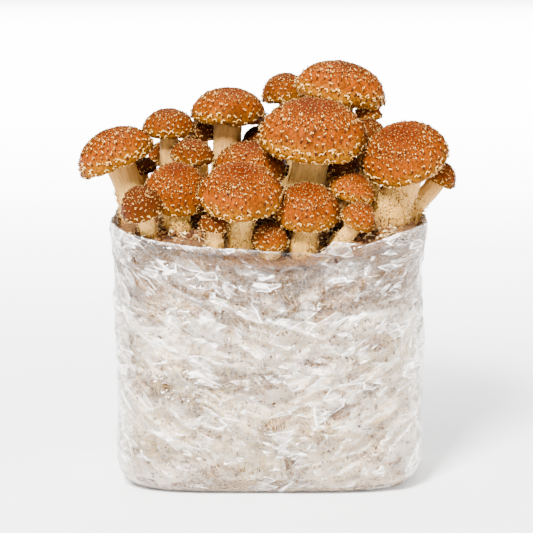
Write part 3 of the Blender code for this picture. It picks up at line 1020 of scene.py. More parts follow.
@dataclass(frozen=True)
class BagForm:
    """The bag's form, as in the CAD model: an oblong tube that tapers up, flares at the rim and rounds in."""

    half_width: float = 102.6
    half_depth: float = 63.5
    power: float = 4.2
    taper: float = 2.2
    flare: float = 2.6
    rounding: float = 13.5
    rounding_height: float = 20.0
    flare_from: float = 146.0
    flare_to: float = 173.5
    front_rim: tuple[tuple[float, float], ...] = (
        (-101, 176.5), (-86, 172.3), (-70, 168), (-44, 166), (-12, 163.3), (20, 162), (34, 162.3),
        (42, 169.8), (61, 166), (77, 172.3), (94, 176.5), (103, 177.5),
    )  # fmt: skip
    back_rim: tuple[tuple[float, float], ...] = (
        (-103, 176.5), (-80, 173.5), (-30, 171), (20, 174), (70, 172), (103, 176)
    )  # fmt: skip

    def outline(self, angle: Array, inset: Array | float, power: float | None = None) -> tuple[Array, Array]:
        """The oblong x = a sgn(cos) |cos|^(2/p), y = b sgn(sin) |sin|^(2/p), with a and b less the inset."""
        share = 2.0 / (power or self.power)
        cosine, sine = np.cos(angle), np.sin(angle)
        x = (self.half_width - inset) * np.sign(cosine) * np.abs(cosine) ** share
        return x, (self.half_depth - inset) * np.sign(sine) * np.abs(sine) ** share

    def outward(self, angle: Array) -> Array:
        """Level unit vector that points out of the wall at an angle."""
        x, y = self.outline(angle, 0.0)
        slope_x = np.sign(x) * np.abs(x / self.half_width) ** (self.power - 1.0) / self.half_width
        slope_y = np.sign(y) * np.abs(y / self.half_depth) ** (self.power - 1.0) / self.half_depth
        return unit(flat(slope_x, slope_y))

    def bulge(self, angle: Array, height: Array) -> Array:
        """Slow waves of the wall."""
        x, y = self.outline(angle, 0.0)
        side, turn = height / 170.0, np.arctan2(y, x)
        waves = 0.8 * np.sin(5 * turn + 4.2 * side) + 0.6 * np.sin(9 * turn - 6.5 * side + 1.0)
        waves = waves + 0.4 * np.sin(17 * turn + 9 * side)
        return waves * smooth_step(0.0, 30.0, height)

    def wall(self, angle: Array, height: Array, inset: Array | float, power: float | None = None) -> Array:
        """Place on the wall, with its quarter ellipse of rounding below rounding_height."""
        low = np.clip(1.0 - height / self.rounding_height, 0.0, 1.0)
        round_in = self.rounding * (1.0 - np.sqrt(1.0 - low**2))
        lean = self.taper * smooth_step(0.0, self.flare_from, height)
        lean = lean - self.flare * smooth_step(self.flare_from, self.flare_to, height)
        lean = lean - self.bulge(angle, np.minimum(height, self.flare_from))
        x, y = self.outline(angle, inset + lean + round_in, power)
        return flat(x, y, height)

    def rim(self, angle: Array) -> Array:
        """Height of the rim."""
        x, y = self.outline(angle, 0.0)
        front, back = np.array(self.front_rim), np.array(self.back_rim)
        share = smooth_step(-22.0, 22.0, y)
        low, high = np.interp(x, front[:, 0], front[:, 1]), np.interp(x, back[:, 0], back[:, 1])
        return (1.0 - share) * low + share * high

    def arcs(self) -> tuple[Array, Array]:
        """Angles from -pi to pi in fine steps and the length of the outline up to each."""
        angle = np.linspace(-math.pi, math.pi, 8001)
        x, y = self.outline(angle, 0.0)
        return angle, np.concatenate([[0.0], np.cumsum(np.hypot(np.diff(x), np.diff(y)))])

    def angle_at(self, arc: Array) -> Array:
        """Angle at a length along the outline."""
        angle, length = self.arcs()
        return np.interp(arc, length, angle)

    def arc_of(self, x: Array) -> Array:
        """Length along the outline of the front's point with this x."""
        angle, length = self.arcs()
        front = angle <= 0.0
        return np.interp(x, self.outline(angle[front], 0.0)[0], length[front])


@dataclass(frozen=True)
class Crease:
    """A crease of the film: its image places, its width and height in millimetres and how white it is."""

    line: tuple[tuple[float, float], ...]
    width: float = 1.2
    height: float = 0.6
    # white: the crease's own whitening, and a painted highlight along it
    white: float = 0.6


FRONT_CREASES = (
    Crease(
        ((155, 277), (168, 273), (180, 276), (188, 273), (195, 278), (205, 275), (217, 270)), 1.6, 0.9, 0.9
    ),
    Crease(((170, 280), (182, 286), (195, 291), (210, 288), (217, 275)), 1.5, 0.8, 0.7),
    Crease(
        ((162, 288), (180, 296), (200, 303), (222, 304), (232, 311), (245, 318), (262, 323)), 1.8, 1.0, 0.8
    ),
    Crease(((262, 323), (270, 322), (285, 325), (300, 331), (312, 335), (322, 339)), 1.6, 0.8, 0.7),
    Crease(((166, 308), (172, 313), (185, 314), (190, 322), (203, 321), (215, 321)), 1.4, 0.7, 0.7),
    Crease(((162, 334), (172, 340)), 1.4, 0.6, 0.6),
    Crease(((155, 340), (165, 348), (176, 352)), 1.3, 0.6, 0.6),
    Crease(((190, 340), (201, 343), (212, 350)), 2.2, 0.8, 0.8),
    Crease(((205, 352), (220, 354)), 1.3, 0.6, 0.6),
    Crease(((222, 281), (232, 290), (226, 295), (222, 281)), 1.4, 0.7, 0.7),
    Crease(((234, 271), (245, 275), (256, 274), (262, 277), (275, 281)), 2.2, 0.9, 0.8),
    Crease(((318, 261), (335, 268), (350, 262), (358, 265)), 1.8, 0.9, 0.8),
    Crease(((345, 278), (330, 282), (345, 283), (362, 275)), 2.2, 0.9, 0.9),
    Crease(((370, 288), (375, 281), (385, 283)), 1.8, 0.8, 0.8),
    Crease(((345, 292), (355, 297), (370, 294)), 1.4, 0.7, 0.8),
    Crease(((345, 327), (360, 320), (375, 315), (388, 312)), 1.6, 0.8, 0.7),
    Crease(((275, 308), (287, 315)), 1.4, 0.6, 0.6),
    Crease(((272, 344), (285, 348), (297, 350)), 1.4, 0.6, 0.7),
    Crease(((322, 347), (338, 347)), 1.3, 0.6, 0.6),
    Crease(((333, 350), (345, 357), (352, 351), (358, 349)), 1.4, 0.7, 0.8),
    Crease(((380, 357), (392, 349)), 1.4, 0.6, 0.6),
    Crease(((385, 247), (395, 243), (402, 245)), 1.4, 0.6, 0.7),
    Crease(((310, 370), (330, 372)), 1.4, 0.6, 0.6),
    Crease(((270, 382), (290, 384), (315, 377)), 1.5, 0.7, 0.7),
    Crease(((315, 390), (318, 380)), 1.3, 0.6, 0.6),
    Crease(((340, 401), (350, 400), (360, 393), (378, 386)), 1.5, 0.8, 0.8),
    Crease(((370, 424), (380, 417), (392, 412)), 1.5, 0.8, 0.7),
    Crease(((345, 436), (352, 441), (360, 439)), 1.4, 0.6, 0.6),
    Crease(((340, 429), (355, 428)), 1.3, 0.6, 0.6),
    Crease(((400, 395), (407, 378), (410, 370)), 1.4, 0.7, 0.7),
    Crease(((160, 404), (175, 412), (180, 421), (192, 422), (203, 416)), 1.5, 0.8, 0.7),
    Crease(((192, 400), (205, 403), (218, 411)), 1.4, 0.6, 0.6),
    Crease(((205, 425), (215, 430), (235, 428)), 1.4, 0.6, 0.6),
    Crease(((141, 414), (150, 428), (158, 435)), 1.1, 0.5, 0.5),
    Crease(((147, 415), (160, 428), (170, 432)), 1.1, 0.5, 0.5),
    Crease(((160, 433), (180, 441), (188, 445)), 1.4, 0.6, 0.6),
    Crease(((140, 450), (150, 462), (162, 472), (175, 470), (187, 472)), 1.3, 0.6, 0.6),
    Crease(((145, 455), (160, 464)), 1.2, 0.5, 0.5),
    Crease(((280, 450), (276, 465), (270, 480)), 1.2, 0.6, 0.6),
    Crease(((280, 450), (279, 466), (277, 482)), 1.2, 0.6, 0.5),
    Crease(((280, 450), (285, 470)), 1.2, 0.6, 0.6),
    Crease(((280, 450), (290, 457), (298, 460)), 1.2, 0.6, 0.6),
    Crease(((280, 450), (296, 454), (310, 455)), 1.2, 0.6, 0.6),
    Crease(((280, 450), (264, 443), (250, 441)), 1.2, 0.6, 0.5),
    Crease(((190, 387), (205, 380), (221, 378)), 1.2, 0.6, 0.5),
    Crease(((190, 387), (203, 392), (214, 399)), 1.2, 0.6, 0.5),
    Crease(((190, 387), (176, 392), (160, 393)), 1.2, 0.6, 0.5),
    Crease(((190, 387), (180, 378), (172, 366)), 1.2, 0.6, 0.5),
    Crease(((405, 325), (408, 338), (406, 350)), 1.2, 0.6, 0.5),
    Crease(((413, 322), (416, 336), (414, 352)), 1.2, 0.6, 0.5),
    Crease(((419, 328), (421, 345)), 1.2, 0.6, 0.5),
    Crease(((250, 252), (262, 262), (275, 270)), 1.0, 0.5, 0.5),
    Crease(((280, 272), (292, 268), (305, 270)), 1.0, 0.5, 0.5),
    Crease(((322, 254), (330, 258), (341, 256)), 1.0, 0.5, 0.5),
    Crease(((128, 262), (140, 274), (150, 280)), 1.2, 0.6, 0.5),
    Crease(((120, 300), (132, 309), (150, 312)), 1.3, 0.7, 0.6),
    Crease(((118, 370), (130, 366), (142, 370)), 1.3, 0.7, 0.5),
    Crease(((122, 430), (130, 442), (134, 458)), 1.3, 0.7, 0.5),
    Crease(((395, 300), (408, 296), (422, 286)), 1.4, 0.7, 0.7),
    Crease(((388, 262), (402, 262), (418, 252)), 1.4, 0.7, 0.6),
    Crease(((388, 330), (398, 338), (400, 352)), 1.3, 0.6, 0.5),
    Crease(((390, 452), (400, 440), (412, 424)), 1.4, 0.7, 0.6),
    Crease(((235, 345), (250, 352), (262, 362)), 1.3, 0.6, 0.6),
    Crease(((225, 366), (240, 364), (256, 369)), 1.2, 0.5, 0.5),
    Crease(((130, 325), (145, 329), (158, 327)), 1.3, 0.6, 0.5),
    Crease(((290, 410), (305, 404), (322, 402)), 1.3, 0.6, 0.6),
    Crease(((228, 445), (242, 452), (256, 453)), 1.3, 0.6, 0.5),
    Crease(((330, 462), (346, 455), (366, 452)), 1.4, 0.7, 0.6),
)


@dataclass(frozen=True)
class Patch:
    """An oval area on the front, in image places and half sizes, with its strength and tilt in degrees."""

    column: float
    row: float
    half_column: float
    half_row: float
    strength: float
    tilt: float = 0.0


# Where the film shows bright glints: painted highlights in its white, and pleats whose upper sides catch the
# key light
GLINT_PATCHES = (
    Patch(187, 280, 30, 9, 0.8, 3), Patch(201, 345, 12, 6, 0.6, 25), Patch(227, 288, 6, 8, 0.6),
    Patch(348, 272, 26, 9, 0.8, -8), Patch(378, 286, 9, 4, 0.6, -20), Patch(370, 412, 12, 13, 0.4, -25),
    Patch(325, 375, 7, 4, 0.6, -15), Patch(190, 248, 24, 3, 0.7, 3), Patch(255, 275, 20, 4, 0.5, 6),
    Patch(300, 328, 22, 5, 0.45, 18), Patch(362, 318, 24, 5, 0.45, -14), Patch(180, 300, 22, 5, 0.4, 15),
    Patch(150, 345, 14, 6, 0.35, 20), Patch(350, 355, 12, 4, 0.5, 0), Patch(140, 430, 10, 16, 0.3, 20),
    Patch(285, 346, 14, 4, 0.4, 8), Patch(392, 250, 14, 5, 0.4, -10), Patch(405, 375, 7, 16, 0.35, 10),
)  # fmt: skip
# Brown patches on the front; the long thin one along the bottom at column 252 and the one at column 381 are
# painted contact shadow.
BROWN_PATCHES = (
    Patch(150, 255, 9, 4, 0.5), Patch(183, 256, 6, 3, 0.5), Patch(240, 267, 7, 4, 0.6),
    Patch(203, 272, 4, 3, 0.9), Patch(136, 268, 16, 13, 0.5), Patch(242, 280, 19, 8, 0.55),
    Patch(223, 320, 12, 7, 0.55, 20), Patch(240, 326, 9, 4, 0.5, 20), Patch(322, 290, 22, 9, 0.4, -6),
    Patch(292, 306, 9, 4, 0.85), Patch(330, 318, 17, 11, 0.55), Patch(365, 288, 5, 3, 0.8),
    Patch(395, 287, 7, 5, 0.5), Patch(317, 363, 20, 5, 0.5, -4), Patch(146, 389, 28, 9, 0.45),
    Patch(228, 384, 35, 14, 0.45, 4), Patch(273, 382, 14, 9, 0.7), Patch(337, 394, 9, 4, 0.6),
    Patch(370, 390, 9, 11, 0.45), Patch(341, 413, 13, 7, 1.0, -10), Patch(320, 414, 6, 3, 0.8),
    Patch(356, 408, 7, 3, 0.65, -20), Patch(305, 432, 7, 8, 0.5), Patch(297, 465, 14, 15, 0.45),
    Patch(222, 473, 24, 8, 0.4), Patch(252, 486, 76, 5, 0.55), Patch(195, 408, 16, 12, 0.3, 40),
    Patch(276, 432, 15, 16, 0.3), Patch(325, 437, 16, 12, 0.3), Patch(370, 457, 22, 7, 0.3),
    Patch(128, 346, 7, 15, 0.45), Patch(178, 488, 8, 3, 0.9), Patch(381, 490, 5, 2, 0.9),
    Patch(300, 272, 34, 6, 0.5), Patch(260, 300, 14, 6, 0.3), Patch(378, 345, 16, 8, 0.3, -20),
    Patch(170, 365, 18, 6, 0.3), Patch(400, 470, 10, 10, 0.4), Patch(145, 484, 12, 5, 0.4),
)  # fmt: skip
CLEAR_PATCHES = (
    Patch(282, 258, 62, 8, 1.0, -2), Patch(330, 252, 40, 7, 0.8, -8), Patch(185, 262, 24, 7, 0.5, 6)
)
# image places from which the mycelium's threads run out
THREAD_HUBS = ((280.0, 450.0), (190.0, 387.0), (330.0, 452.0), (233.0, 436.0), (372.0, 432.0), (160.0, 432.0))
SPECKS = (
    (233, 292, 2.2, 0.2), (202, 265, 2.0, 0.6), (241, 338, 2.2, 0.6), (209, 358, 2.2, 0.7),
    (195, 366, 2.0, 0.2), (205, 371, 2.0, 0.6), (134, 271, 1.8, 0.6), (150, 278, 1.8, 0.6),
    (128, 355, 2.0, 0.6), (335, 317, 2.8, 0.9), (340, 310, 2.0, 0.6), (346, 309, 2.0, 0.6),
    (394, 270, 2.2, 0.7), (350, 339, 2.4, 0.7), (393, 337, 2.4, 0.7), (385, 325, 2.0, 0.6),
    (382, 332, 2.0, 0.6), (223, 377, 3.0, 0.3), (255, 384, 2.6, 0.9), (261, 384, 2.2, 0.8),
    (250, 390, 2.2, 0.7), (259, 403, 2.8, 0.7), (186, 378, 2.2, 0.6), (166, 392, 2.2, 0.6),
    (187, 438, 2.2, 0.7), (178, 445, 2.0, 0.6), (199, 454, 2.2, 0.7), (203, 461, 2.2, 0.6),
    (213, 468, 2.2, 0.6), (122, 453, 2.4, 0.7), (332, 426, 2.6, 0.9), (311, 437, 2.6, 0.9),
    (305, 443, 2.2, 0.7), (395, 435, 2.4, 0.7), (362, 386, 2.2, 0.7), (328, 482, 2.4, 0.7),
    (238, 356, 2.0, 0.5), (366, 300, 2.0, 0.5), (299, 388, 2.0, 0.6), (347, 473, 2.2, 0.6),
)  # fmt: skip


@dataclass
class Wrinkles:
    """Height and whiteness of the film's creases over length along the outline and height."""

    form: BagForm
    view: PhotoView = field(default_factory=PhotoView)
    seed: int = 5
    loose: int = 800
    # each fold: size, strength, whiteness along its ridges (whitening and painted highlight) and seed
    folds: tuple = (
        (38.0, 1.9, 1.0, 311), (19.0, 1.15, 0.8, 312), (10.0, 0.65, 0.4, 313), (5.5, 0.22, 0.0, 314)
    )

    def lines(self) -> list[tuple[Array, float, float, float]]:
        """All creases as points of (length along the outline, height), with width, height and whiteness."""
        found = []
        for crease in FRONT_CREASES:
            places = np.array(crease.line, float)
            x, z = self.view.front(places[:, 0], places[:, 1], self.form)
            found.append(
                (np.stack([self.form.arc_of(x), z], axis=1), 0.62 * crease.width, crease.height, crease.white)
            )
        rng = np.random.default_rng(self.seed)
        total = self.form.arcs()[1][-1]
        for _ in range(self.loose):
            start = np.array([rng.uniform(0.0, total), rng.uniform(-8.0, 172.0)])
            x = self.form.outline(self.form.angle_at(start[:1]), 0.0)[0][0]
            across = start[0] % total > 0.5 * total
            lean = 0.32 * np.sign(x) * (-1.0 if across else 1.0) * min(1.0, abs(x) / 25.0)
            heading = lean + rng.normal(0.0, 0.45) + (1.3 if rng.uniform() < 0.12 else 0.0)
            steps = rng.integers(2, 6)
            reach = rng.uniform(3.0, 9.0)
            turns = heading + np.cumsum(rng.normal(0.0, 0.4, steps))
            path = start + np.cumsum(np.stack([np.cos(turns), np.sin(turns)], axis=1) * reach, axis=0)
            line = np.vstack([start, path])
            found.append((line, rng.uniform(0.55, 1.0), rng.uniform(0.25, 0.8), 0.5 * rng.uniform() ** 2))
        return found

    def ridges(self, arc: Array, height: Array) -> tuple[Array, Array]:
        """Height and whiteness of the creases on a grid whose columns share one length along the outline.

        Each crease is a ridge h exp(-(d / w)^1.5), with d the distance to its line and w its width, that fades
        at its ends. The highest ridge counts where several meet.

        Args:
            arc: Length along the outline for each column.
            height: Height for each row and column.

        Returns:
            Ridge height in millimetres and whiteness in 0..1, for each row and column.
        """
        rise = np.zeros(height.shape)
        white = np.zeros(height.shape)
        for line, width, size, whiteness in self.lines():
            margin = 3.0 * width
            ends = np.linspace(0.0, 1.0, len(line))
            for index in range(len(line) - 1):
                first, last = line[index], line[index + 1]
                low, high = min(first[0], last[0]) - margin, max(first[0], last[0]) + margin
                left, right = np.searchsorted(arc, [low, high])
                if right - left < 1:
                    continue
                part = slice(left, right)
                away = last - first
                length = max(float(away @ away), 1e-9)
                offset_arc = arc[None, part] - first[0]
                offset_height = height[:, part] - first[1]
                share = np.clip((offset_arc * away[0] + offset_height * away[1]) / length, 0.0, 1.0)
                gap = np.hypot(offset_arc - share * away[0], offset_height - share * away[1])
                along = ends[index] + share * (ends[index + 1] - ends[index])
                faded = np.clip(5.0 * np.minimum(along, 1.0 - along) + 0.35, 0.0, 1.0)
                profile = np.exp(-((gap / width) ** 1.5)) * faded
                rise[:, part] = np.maximum(rise[:, part], size * profile)
                white[:, part] = np.maximum(white[:, part], whiteness * profile)
        return rise, white

    def crumple(self, place: Array) -> tuple[Array, Array]:
        """Folds all over the film: bowls of several sizes, drawn out sideways along the sloping creases."""
        x, y, z = place[..., 0], place[..., 1], place[..., 2]
        slanted = flat(x, y, FOLD_STRETCH * fold_level(x, y, z))
        slanted = slanted + 4.0 * flat(
            noise(place, 23.0, 301), noise(place, 23.0, 302), 2.0 * noise(place, 23.0, 303)
        )
        total = np.zeros(x.shape)
        sharp = np.zeros(x.shape)
        for size, strength, white, seed in self.folds:
            height, near = bowls(slanted, size, seed)
            total += strength * height
            sharp = np.maximum(sharp, white * near)
        return total, sharp


def fold_level(x: Array, y: Array, z: Array) -> Array:
    """Height above the sloping line that the film's folds follow: z - slope (|x| + turn y)."""
    return z - FOLD_SLOPE * (np.abs(x) + FOLD_TURN * y)


def oval_field(x: Array, z: Array, patches: tuple[Patch, ...], view: PhotoView, form: BagForm) -> Array:
    """Strongest patch at each front place: strength (1 - r^2) held at 0, r the distance in half sizes."""
    best = np.zeros(x.shape)
    for patch in patches:
        at_x, at_z = view.front(np.array([patch.column]), np.array([patch.row]), form)
        tilt = math.radians(-patch.tilt)
        across = (x - at_x[0]) * math.cos(tilt) + (z - at_z[0]) * math.sin(tilt)
        across = across / (patch.half_column * PIXEL)
        along = (-(x - at_x[0]) * math.sin(tilt) + (z - at_z[0]) * math.cos(tilt)) / (patch.half_row * PIXEL)
        best = np.maximum(best, patch.strength * np.clip(1.4 - across**2 - along**2, 0.0, 1.0))
    return best


@dataclass(frozen=True)
class FilmFinish:
    """Clear film: see-through with a gloss, and milky white along its creases, partly painted highlights."""

    clear: float = 0.0
    # white of the film's whitening and of its painted highlights
    milk_and_glint: tuple = (0.98, 0.94, 0.88, 1.0)
    # per size of cell: scale, slope, and whiteness of edges and middles, which paint glints
    cells: tuple = ((88.0, 0.5, 0.8, 0.35), (150.0, 0.15, 0.7, 0.25), (210.0, 0.75, 0.5, 0.15))

    def material(self) -> bpy.types.Material:
        """White film mixed with see-through by the attribute haze and by three sizes of slanting cells.

        Each row of cells holds a scale, the slope of its cells, and how white their edges and middles are.
        A gloss that follows the Fresnel law lies over it all, with each cell of the largest size turned its
        own way.

        Returns:
            The film's material.
        """
        g = Graph("clear_film")
        place = g.place()
        haze_and_glint = g.attribute("haze_and_glint")
        fine = g.noise(g.stretched(place, (0.6, 0.6, 1.6)), 330.0, 3.0)
        crinkle = g.noise(g.stretched(place, (0.55, 0.55, 1.8)), 130.0, 4.0, 0.6)
        crinkle = g.math("ABSOLUTE", g.math("SUBTRACT", crinkle, 0.5))
        cover = g.math("MULTIPLY", haze_and_glint, g.remap(fine, 0.35, 0.65, 0.2, 1.0))
        cover = g.math("ADD", cover, g.remap(crinkle, 0.0, 0.01, 0.07, 0.0))
        facets = None
        across, depth, up = g.add("SeparateXYZ", Vector=place).outputs
        aside = g.math("ADD", g.math("ABSOLUTE", across), g.math("MULTIPLY", depth, FOLD_TURN))
        # the white edges and middles of picked cells are painted glints
        for scale, slope, line, fill in self.cells:
            level = g.math("SUBTRACT", up, g.math("MULTIPLY", aside, slope))
            sheared = g.add("CombineXYZ", X=across, Y=depth, Z=level).outputs["Vector"]
            around = g.stretched(sheared, (0.4, 0.4, 1.25))
            cells = g.add("TexVoronoi", Vector=around, Scale=scale)
            rims = g.add("TexVoronoi", {"feature": "DISTANCE_TO_EDGE"}, Vector=around, Scale=scale)
            shown = g.remap(
                g.math("ADD", g.noise(place, 0.4 * scale, 2.0), g.math("MULTIPLY", haze_and_glint, 0.3)), 0.56, 0.62
            )
            picked = g.remap(g.add("SeparateColor", Color=cells.outputs["Color"]).outputs[1], 0.7, 0.72)
            edge = g.remap(rims.outputs["Distance"], 0.00022 * scale, 0.0006 * scale, line, 0.0)
            shine = g.math("ADD", edge, g.remap(fine, 0.42, 0.58, 0.3 * fill, fill))
            cover = g.math("ADD", cover, g.math("MULTIPLY", g.math("MULTIPLY", shine, picked), shown))
            facets = cells if facets is None else facets
        cover = g.math("MULTIPLY", g.remap(cover, 0.0, 1.0, self.clear, 0.92), g.attribute("outside"))
        lean = g.add("VectorMath", {"operation": "MULTIPLY_ADD"})
        g.put(lean.inputs[0], facets.outputs["Color"])
        g.put(lean.inputs[1], (0.5, 0.5, 0.5))
        g.put(lean.inputs[2], (-0.25, -0.25, -0.25))
        bumped = g.bump(
            g.math("ADD", g.math("MULTIPLY", crinkle, -3.0), g.math("MULTIPLY", fine, 0.3)), 0.001, 0.35
        )
        total = g.add("VectorMath", {"operation": "ADD"})
        g.put(total.inputs[0], bumped)
        g.put(total.inputs[1], lean.outputs[0])
        normal = g.add("VectorMath", {"operation": "NORMALIZE"})
        g.put(normal.inputs[0], total.outputs[0])
        normal = normal.outputs[0]
        rough = g.remap(fine, 0.3, 0.7, 0.25, 0.4)
        milk_and_glint = g.add("BsdfPrincipled", Base_Color=self.milk_and_glint, Roughness=rough, Normal=bumped)
        see = g.add("BsdfTransparent", Color=(1.0, 1.0, 1.0, 1.0))
        body = g.add("MixShader", Fac=cover)
        g.tree.links.new(see.outputs[0], body.inputs[1])
        g.tree.links.new(milk_and_glint.outputs[0], body.inputs[2])
        gloss = g.add("BsdfGlossy", Color=(1.0, 1.0, 1.0, 1.0), Roughness=0.05, Normal=normal)
        fresnel = g.add("Fresnel", IOR=1.45, Normal=normal)
        coat = g.add("MixShader", Fac=g.math("MULTIPLY", fresnel.outputs[0], g.attribute("outside")))
        g.tree.links.new(body.outputs[0], coat.inputs[1])
        g.tree.links.new(gloss.outputs[0], coat.inputs[2])
        return g.finish(coat)


@dataclass
class BagFilm:
    """The film as two closed thin shells, front and back, that meet along the sides and under the base."""

    form: BagForm
    wrinkles: Wrinkles
    view: PhotoView = field(default_factory=PhotoView)
    columns: int = 369
    wall_rows: int = 176
    rounding_rows: int = 22
    base_rows: int = 10
    thickness: float = 0.3
    inset: float = 1.7

    def sheet(self, start: float, turn: Array, wrinkled: bool) -> tuple[Array, Array]:
        """Places and haze of one half, rows from the rim down to near the middle of the base.

        Args:
            start: 0 for the back half and -1 for the front half, in half turns.
            turn: Length along the half's outline in shares, one for each column.
            wrinkled: False for the smooth inner face.

        Returns:
            Places in millimetres and haze in 0..1.
        """
        form = self.form
        total = form.arcs()[1][-1]
        arc = (0.5 * (start + 1.0) + 0.5 * turn) * total
        angle = form.angle_at(arc)
        scale = 1 if wrinkled else 2
        wall = np.linspace(0.0, 1.0, self.wall_rows // scale + 1)
        bend = np.linspace(0.0, 0.5 * math.pi, self.rounding_rows // scale + 1)[1:]
        shrink = np.linspace(1.0, 0.06, self.base_rows // scale + 1)[1:]
        along = flat(arc, 0.0)
        rim = form.rim(angle) + 0.7 * noise(along, 9.0, 41, 2) + 0.9 * noise(along, 26.0, 42)
        heights = np.concatenate(
            [
                rim + (form.rounding_height - rim) * wall[:, None],
                np.tile(form.rounding_height * (1.0 - np.sin(bend))[:, None], len(angle)),
                np.zeros((len(shrink), len(angle))),
            ]
        )
        angles = np.broadcast_to(angle, heights.shape)
        inset = self.inset + (0.0 if wrinkled else self.thickness)
        place = form.wall(angles, heights, inset)
        base = len(wall) + len(bend)
        place[base:, :, :2] *= shrink[:, None, None]
        drop = np.zeros(heights.shape)
        drop[base:] = -np.linalg.norm(place[base - 1, :, :2], axis=1) * (1.0 - shrink[:, None])
        steep = smooth_step(2.0, 16.0, heights)
        loose = smooth_step(150.0, 168.0, heights)
        out = form.outward(angles)
        flutter = 1.1 * noise(flat(arc[None, :] + 0.0 * heights, 0.5 * heights), 21.0, 51, 2) * loose
        if not wrinkled:
            place[:base] += (out * (0.1 + flutter)[..., None])[:base]
            place[..., 2] = np.maximum(place[..., 2], self.thickness)
            return place, np.zeros(heights.shape)
        rise, white = self.wrinkles.ridges(arc, heights + drop)
        crumple, sharp = self.wrinkles.crumple(place)
        x, z = place[..., 0], heights
        y = place[..., 1]
        front = y < -20.0
        # painted highlights: white film over the glint patches
        milky = oval_field(x, z, GLINT_PATCHES, self.view, form) * front
        shiny = smooth_step(0.12, 0.45, milky)
        clouds = noise(flat(x, y, 2.0 * z), 26.0, 61, 2)
        seeded = smooth_step(0.25, 0.75, clouds) * (y > -20.0)
        grain = noise(flat(x, y, FOLD_STRETCH * fold_level(x, y, z)), 7.0, 62, 2)
        milky = np.maximum(milky, 0.6 * seeded)
        milky = milky * smooth_step(-0.25, 0.3, grain + 0.7 * milky)
        ripped = noise(flat(x, y, z), 9.0, 63, 2)
        # haze: the film's own whitening in creases and folds, and painted highlights along them and over the
        # glint patches
        haze_and_glint = np.clip(0.5 * white + 0.25 * sharp * smooth_step(-0.1, 0.6, ripped) + 0.3 * milky, 0.0, 1.0)
        below = rim[None, :] - heights
        # edge: partly the folded edge of the rim, partly a painted highlight along it
        edge = 0.25 * smooth_step(1.5, 0.3, below) + 0.05 * smooth_step(8.0, 0.0, below)
        streaks = noise(flat(arc[None, :] + 0.25 * z, 0.12 * z), 3.0, 64, 2)
        bare_top = 1.0 - 0.5 * smooth_step(110.0, 146.0, z)
        # corner: white near the sides, partly the film standing off the block, partly painted sheen at the
        # edges
        corner = smooth_step(84.0, 100.0, np.abs(x)) * (0.55 + 0.4 * streaks) * bare_top
        haze_and_glint = np.clip(haze_and_glint * (1.0 - 0.35 * smooth_step(122.0, 146.0, z)) + edge + corner, 0.0, 1.0)
        shiny = np.maximum(shiny, 0.8 * smooth_step(0.5, 0.7, seeded))
        folded = rise + crumple * (1.0 - 0.6 * shiny) - 0.3 + 0.4 * shiny * self.pleats(place)
        lift = folded * steep + flutter
        place[:base] += (out * lift[..., None])[:base]
        place[..., 2] = np.maximum(place[..., 2], 0.0)
        return place, haze_and_glint

    def pleats(self, place: Array) -> Array:
        """Small pleats with long upper sides that face up and a little left: h = slope times what is left."""
        across = place[..., 0] * np.where(place[..., 1] < 0.0, 1.0, -1.0)
        level = place[..., 2] - 0.4 * across + 2.2 * noise(place, 11.0, 65, 2)
        period = 5.2
        return 0.5 * (np.ceil(level / period) * period - level)

    def half(self, start: float) -> Surface:
        """One closed shell: wrinkled outer face, plain inner face of half the rows and columns, and edges."""
        outer, haze_and_glint = self.sheet(start, np.linspace(0.0, 1.0, self.columns), True)
        inner, _ = self.sheet(start, np.linspace(0.0, 1.0, self.columns // 2 + 1), False)
        window = oval_field(outer[..., 0], outer[..., 2], CLEAR_PATCHES, self.view, self.form)
        window = window * (outer[..., 1] < -20.0)
        rows, columns = outer.shape[:2]
        low_rows, low_columns = inner.shape[:2]
        first = rows * columns
        hubs = [[0.0, 0.0, 0.0], [0.0, 0.0, self.thickness]]
        points = np.concatenate([outer.reshape(-1, 3), inner.reshape(-1, 3), hubs])
        hub = first + low_rows * low_columns
        fine = np.arange(first).reshape(rows, columns)
        rough = np.arange(low_rows * low_columns).reshape(low_rows, low_columns) + first

        def strip(edge: Array, inside: Array, flip: bool) -> Array:
            """Five-sided faces between a fine edge and one of half as many steps."""
            faces = np.stack([edge[:-2:2], edge[1:-1:2], edge[2::2], inside[1:], inside[:-1]], axis=-1)
            return faces[:, ::-1] if flip else faces

        last, low_last = fine[-1], rough[-1]
        faces = [
            sheet_faces(rows, columns),
            sheet_faces(low_rows, low_columns)[:, ::-1] + first,
            strip(fine[0], rough[0], False),
            strip(fine[:, -1], rough[:, -1], False),
            strip(fine[:, 0], rough[:, 0], True),
            np.stack([np.full(columns - 1, hub), last[1:], last[:-1]], axis=-1),
            np.stack([np.full(low_columns - 1, hub + 1), low_last[:-1], low_last[1:]], axis=-1),
            np.array([[last[-1], hub, hub + 1, low_last[-1]], [low_last[0], hub + 1, hub, last[0]]]),
        ]
        inside = np.zeros(low_rows * low_columns)
        return Surface(
            points,
            faces,
            {
                "haze_and_glint": np.concatenate([haze_and_glint.reshape(-1), inside, [0.0, 0.0]]),
                "outside": np.concatenate([1.0 - 0.8 * window.reshape(-1), inside, [1.0, 0.0]]),
            },
        )

    def build(self) -> None:
        """Makes both halves."""
        film = FilmFinish().material()
        add_piece("bag_film_front", self.half(-1.0), film, ("bag",))
        add_piece("bag_film_back", self.half(0.0), film, ("bag",))


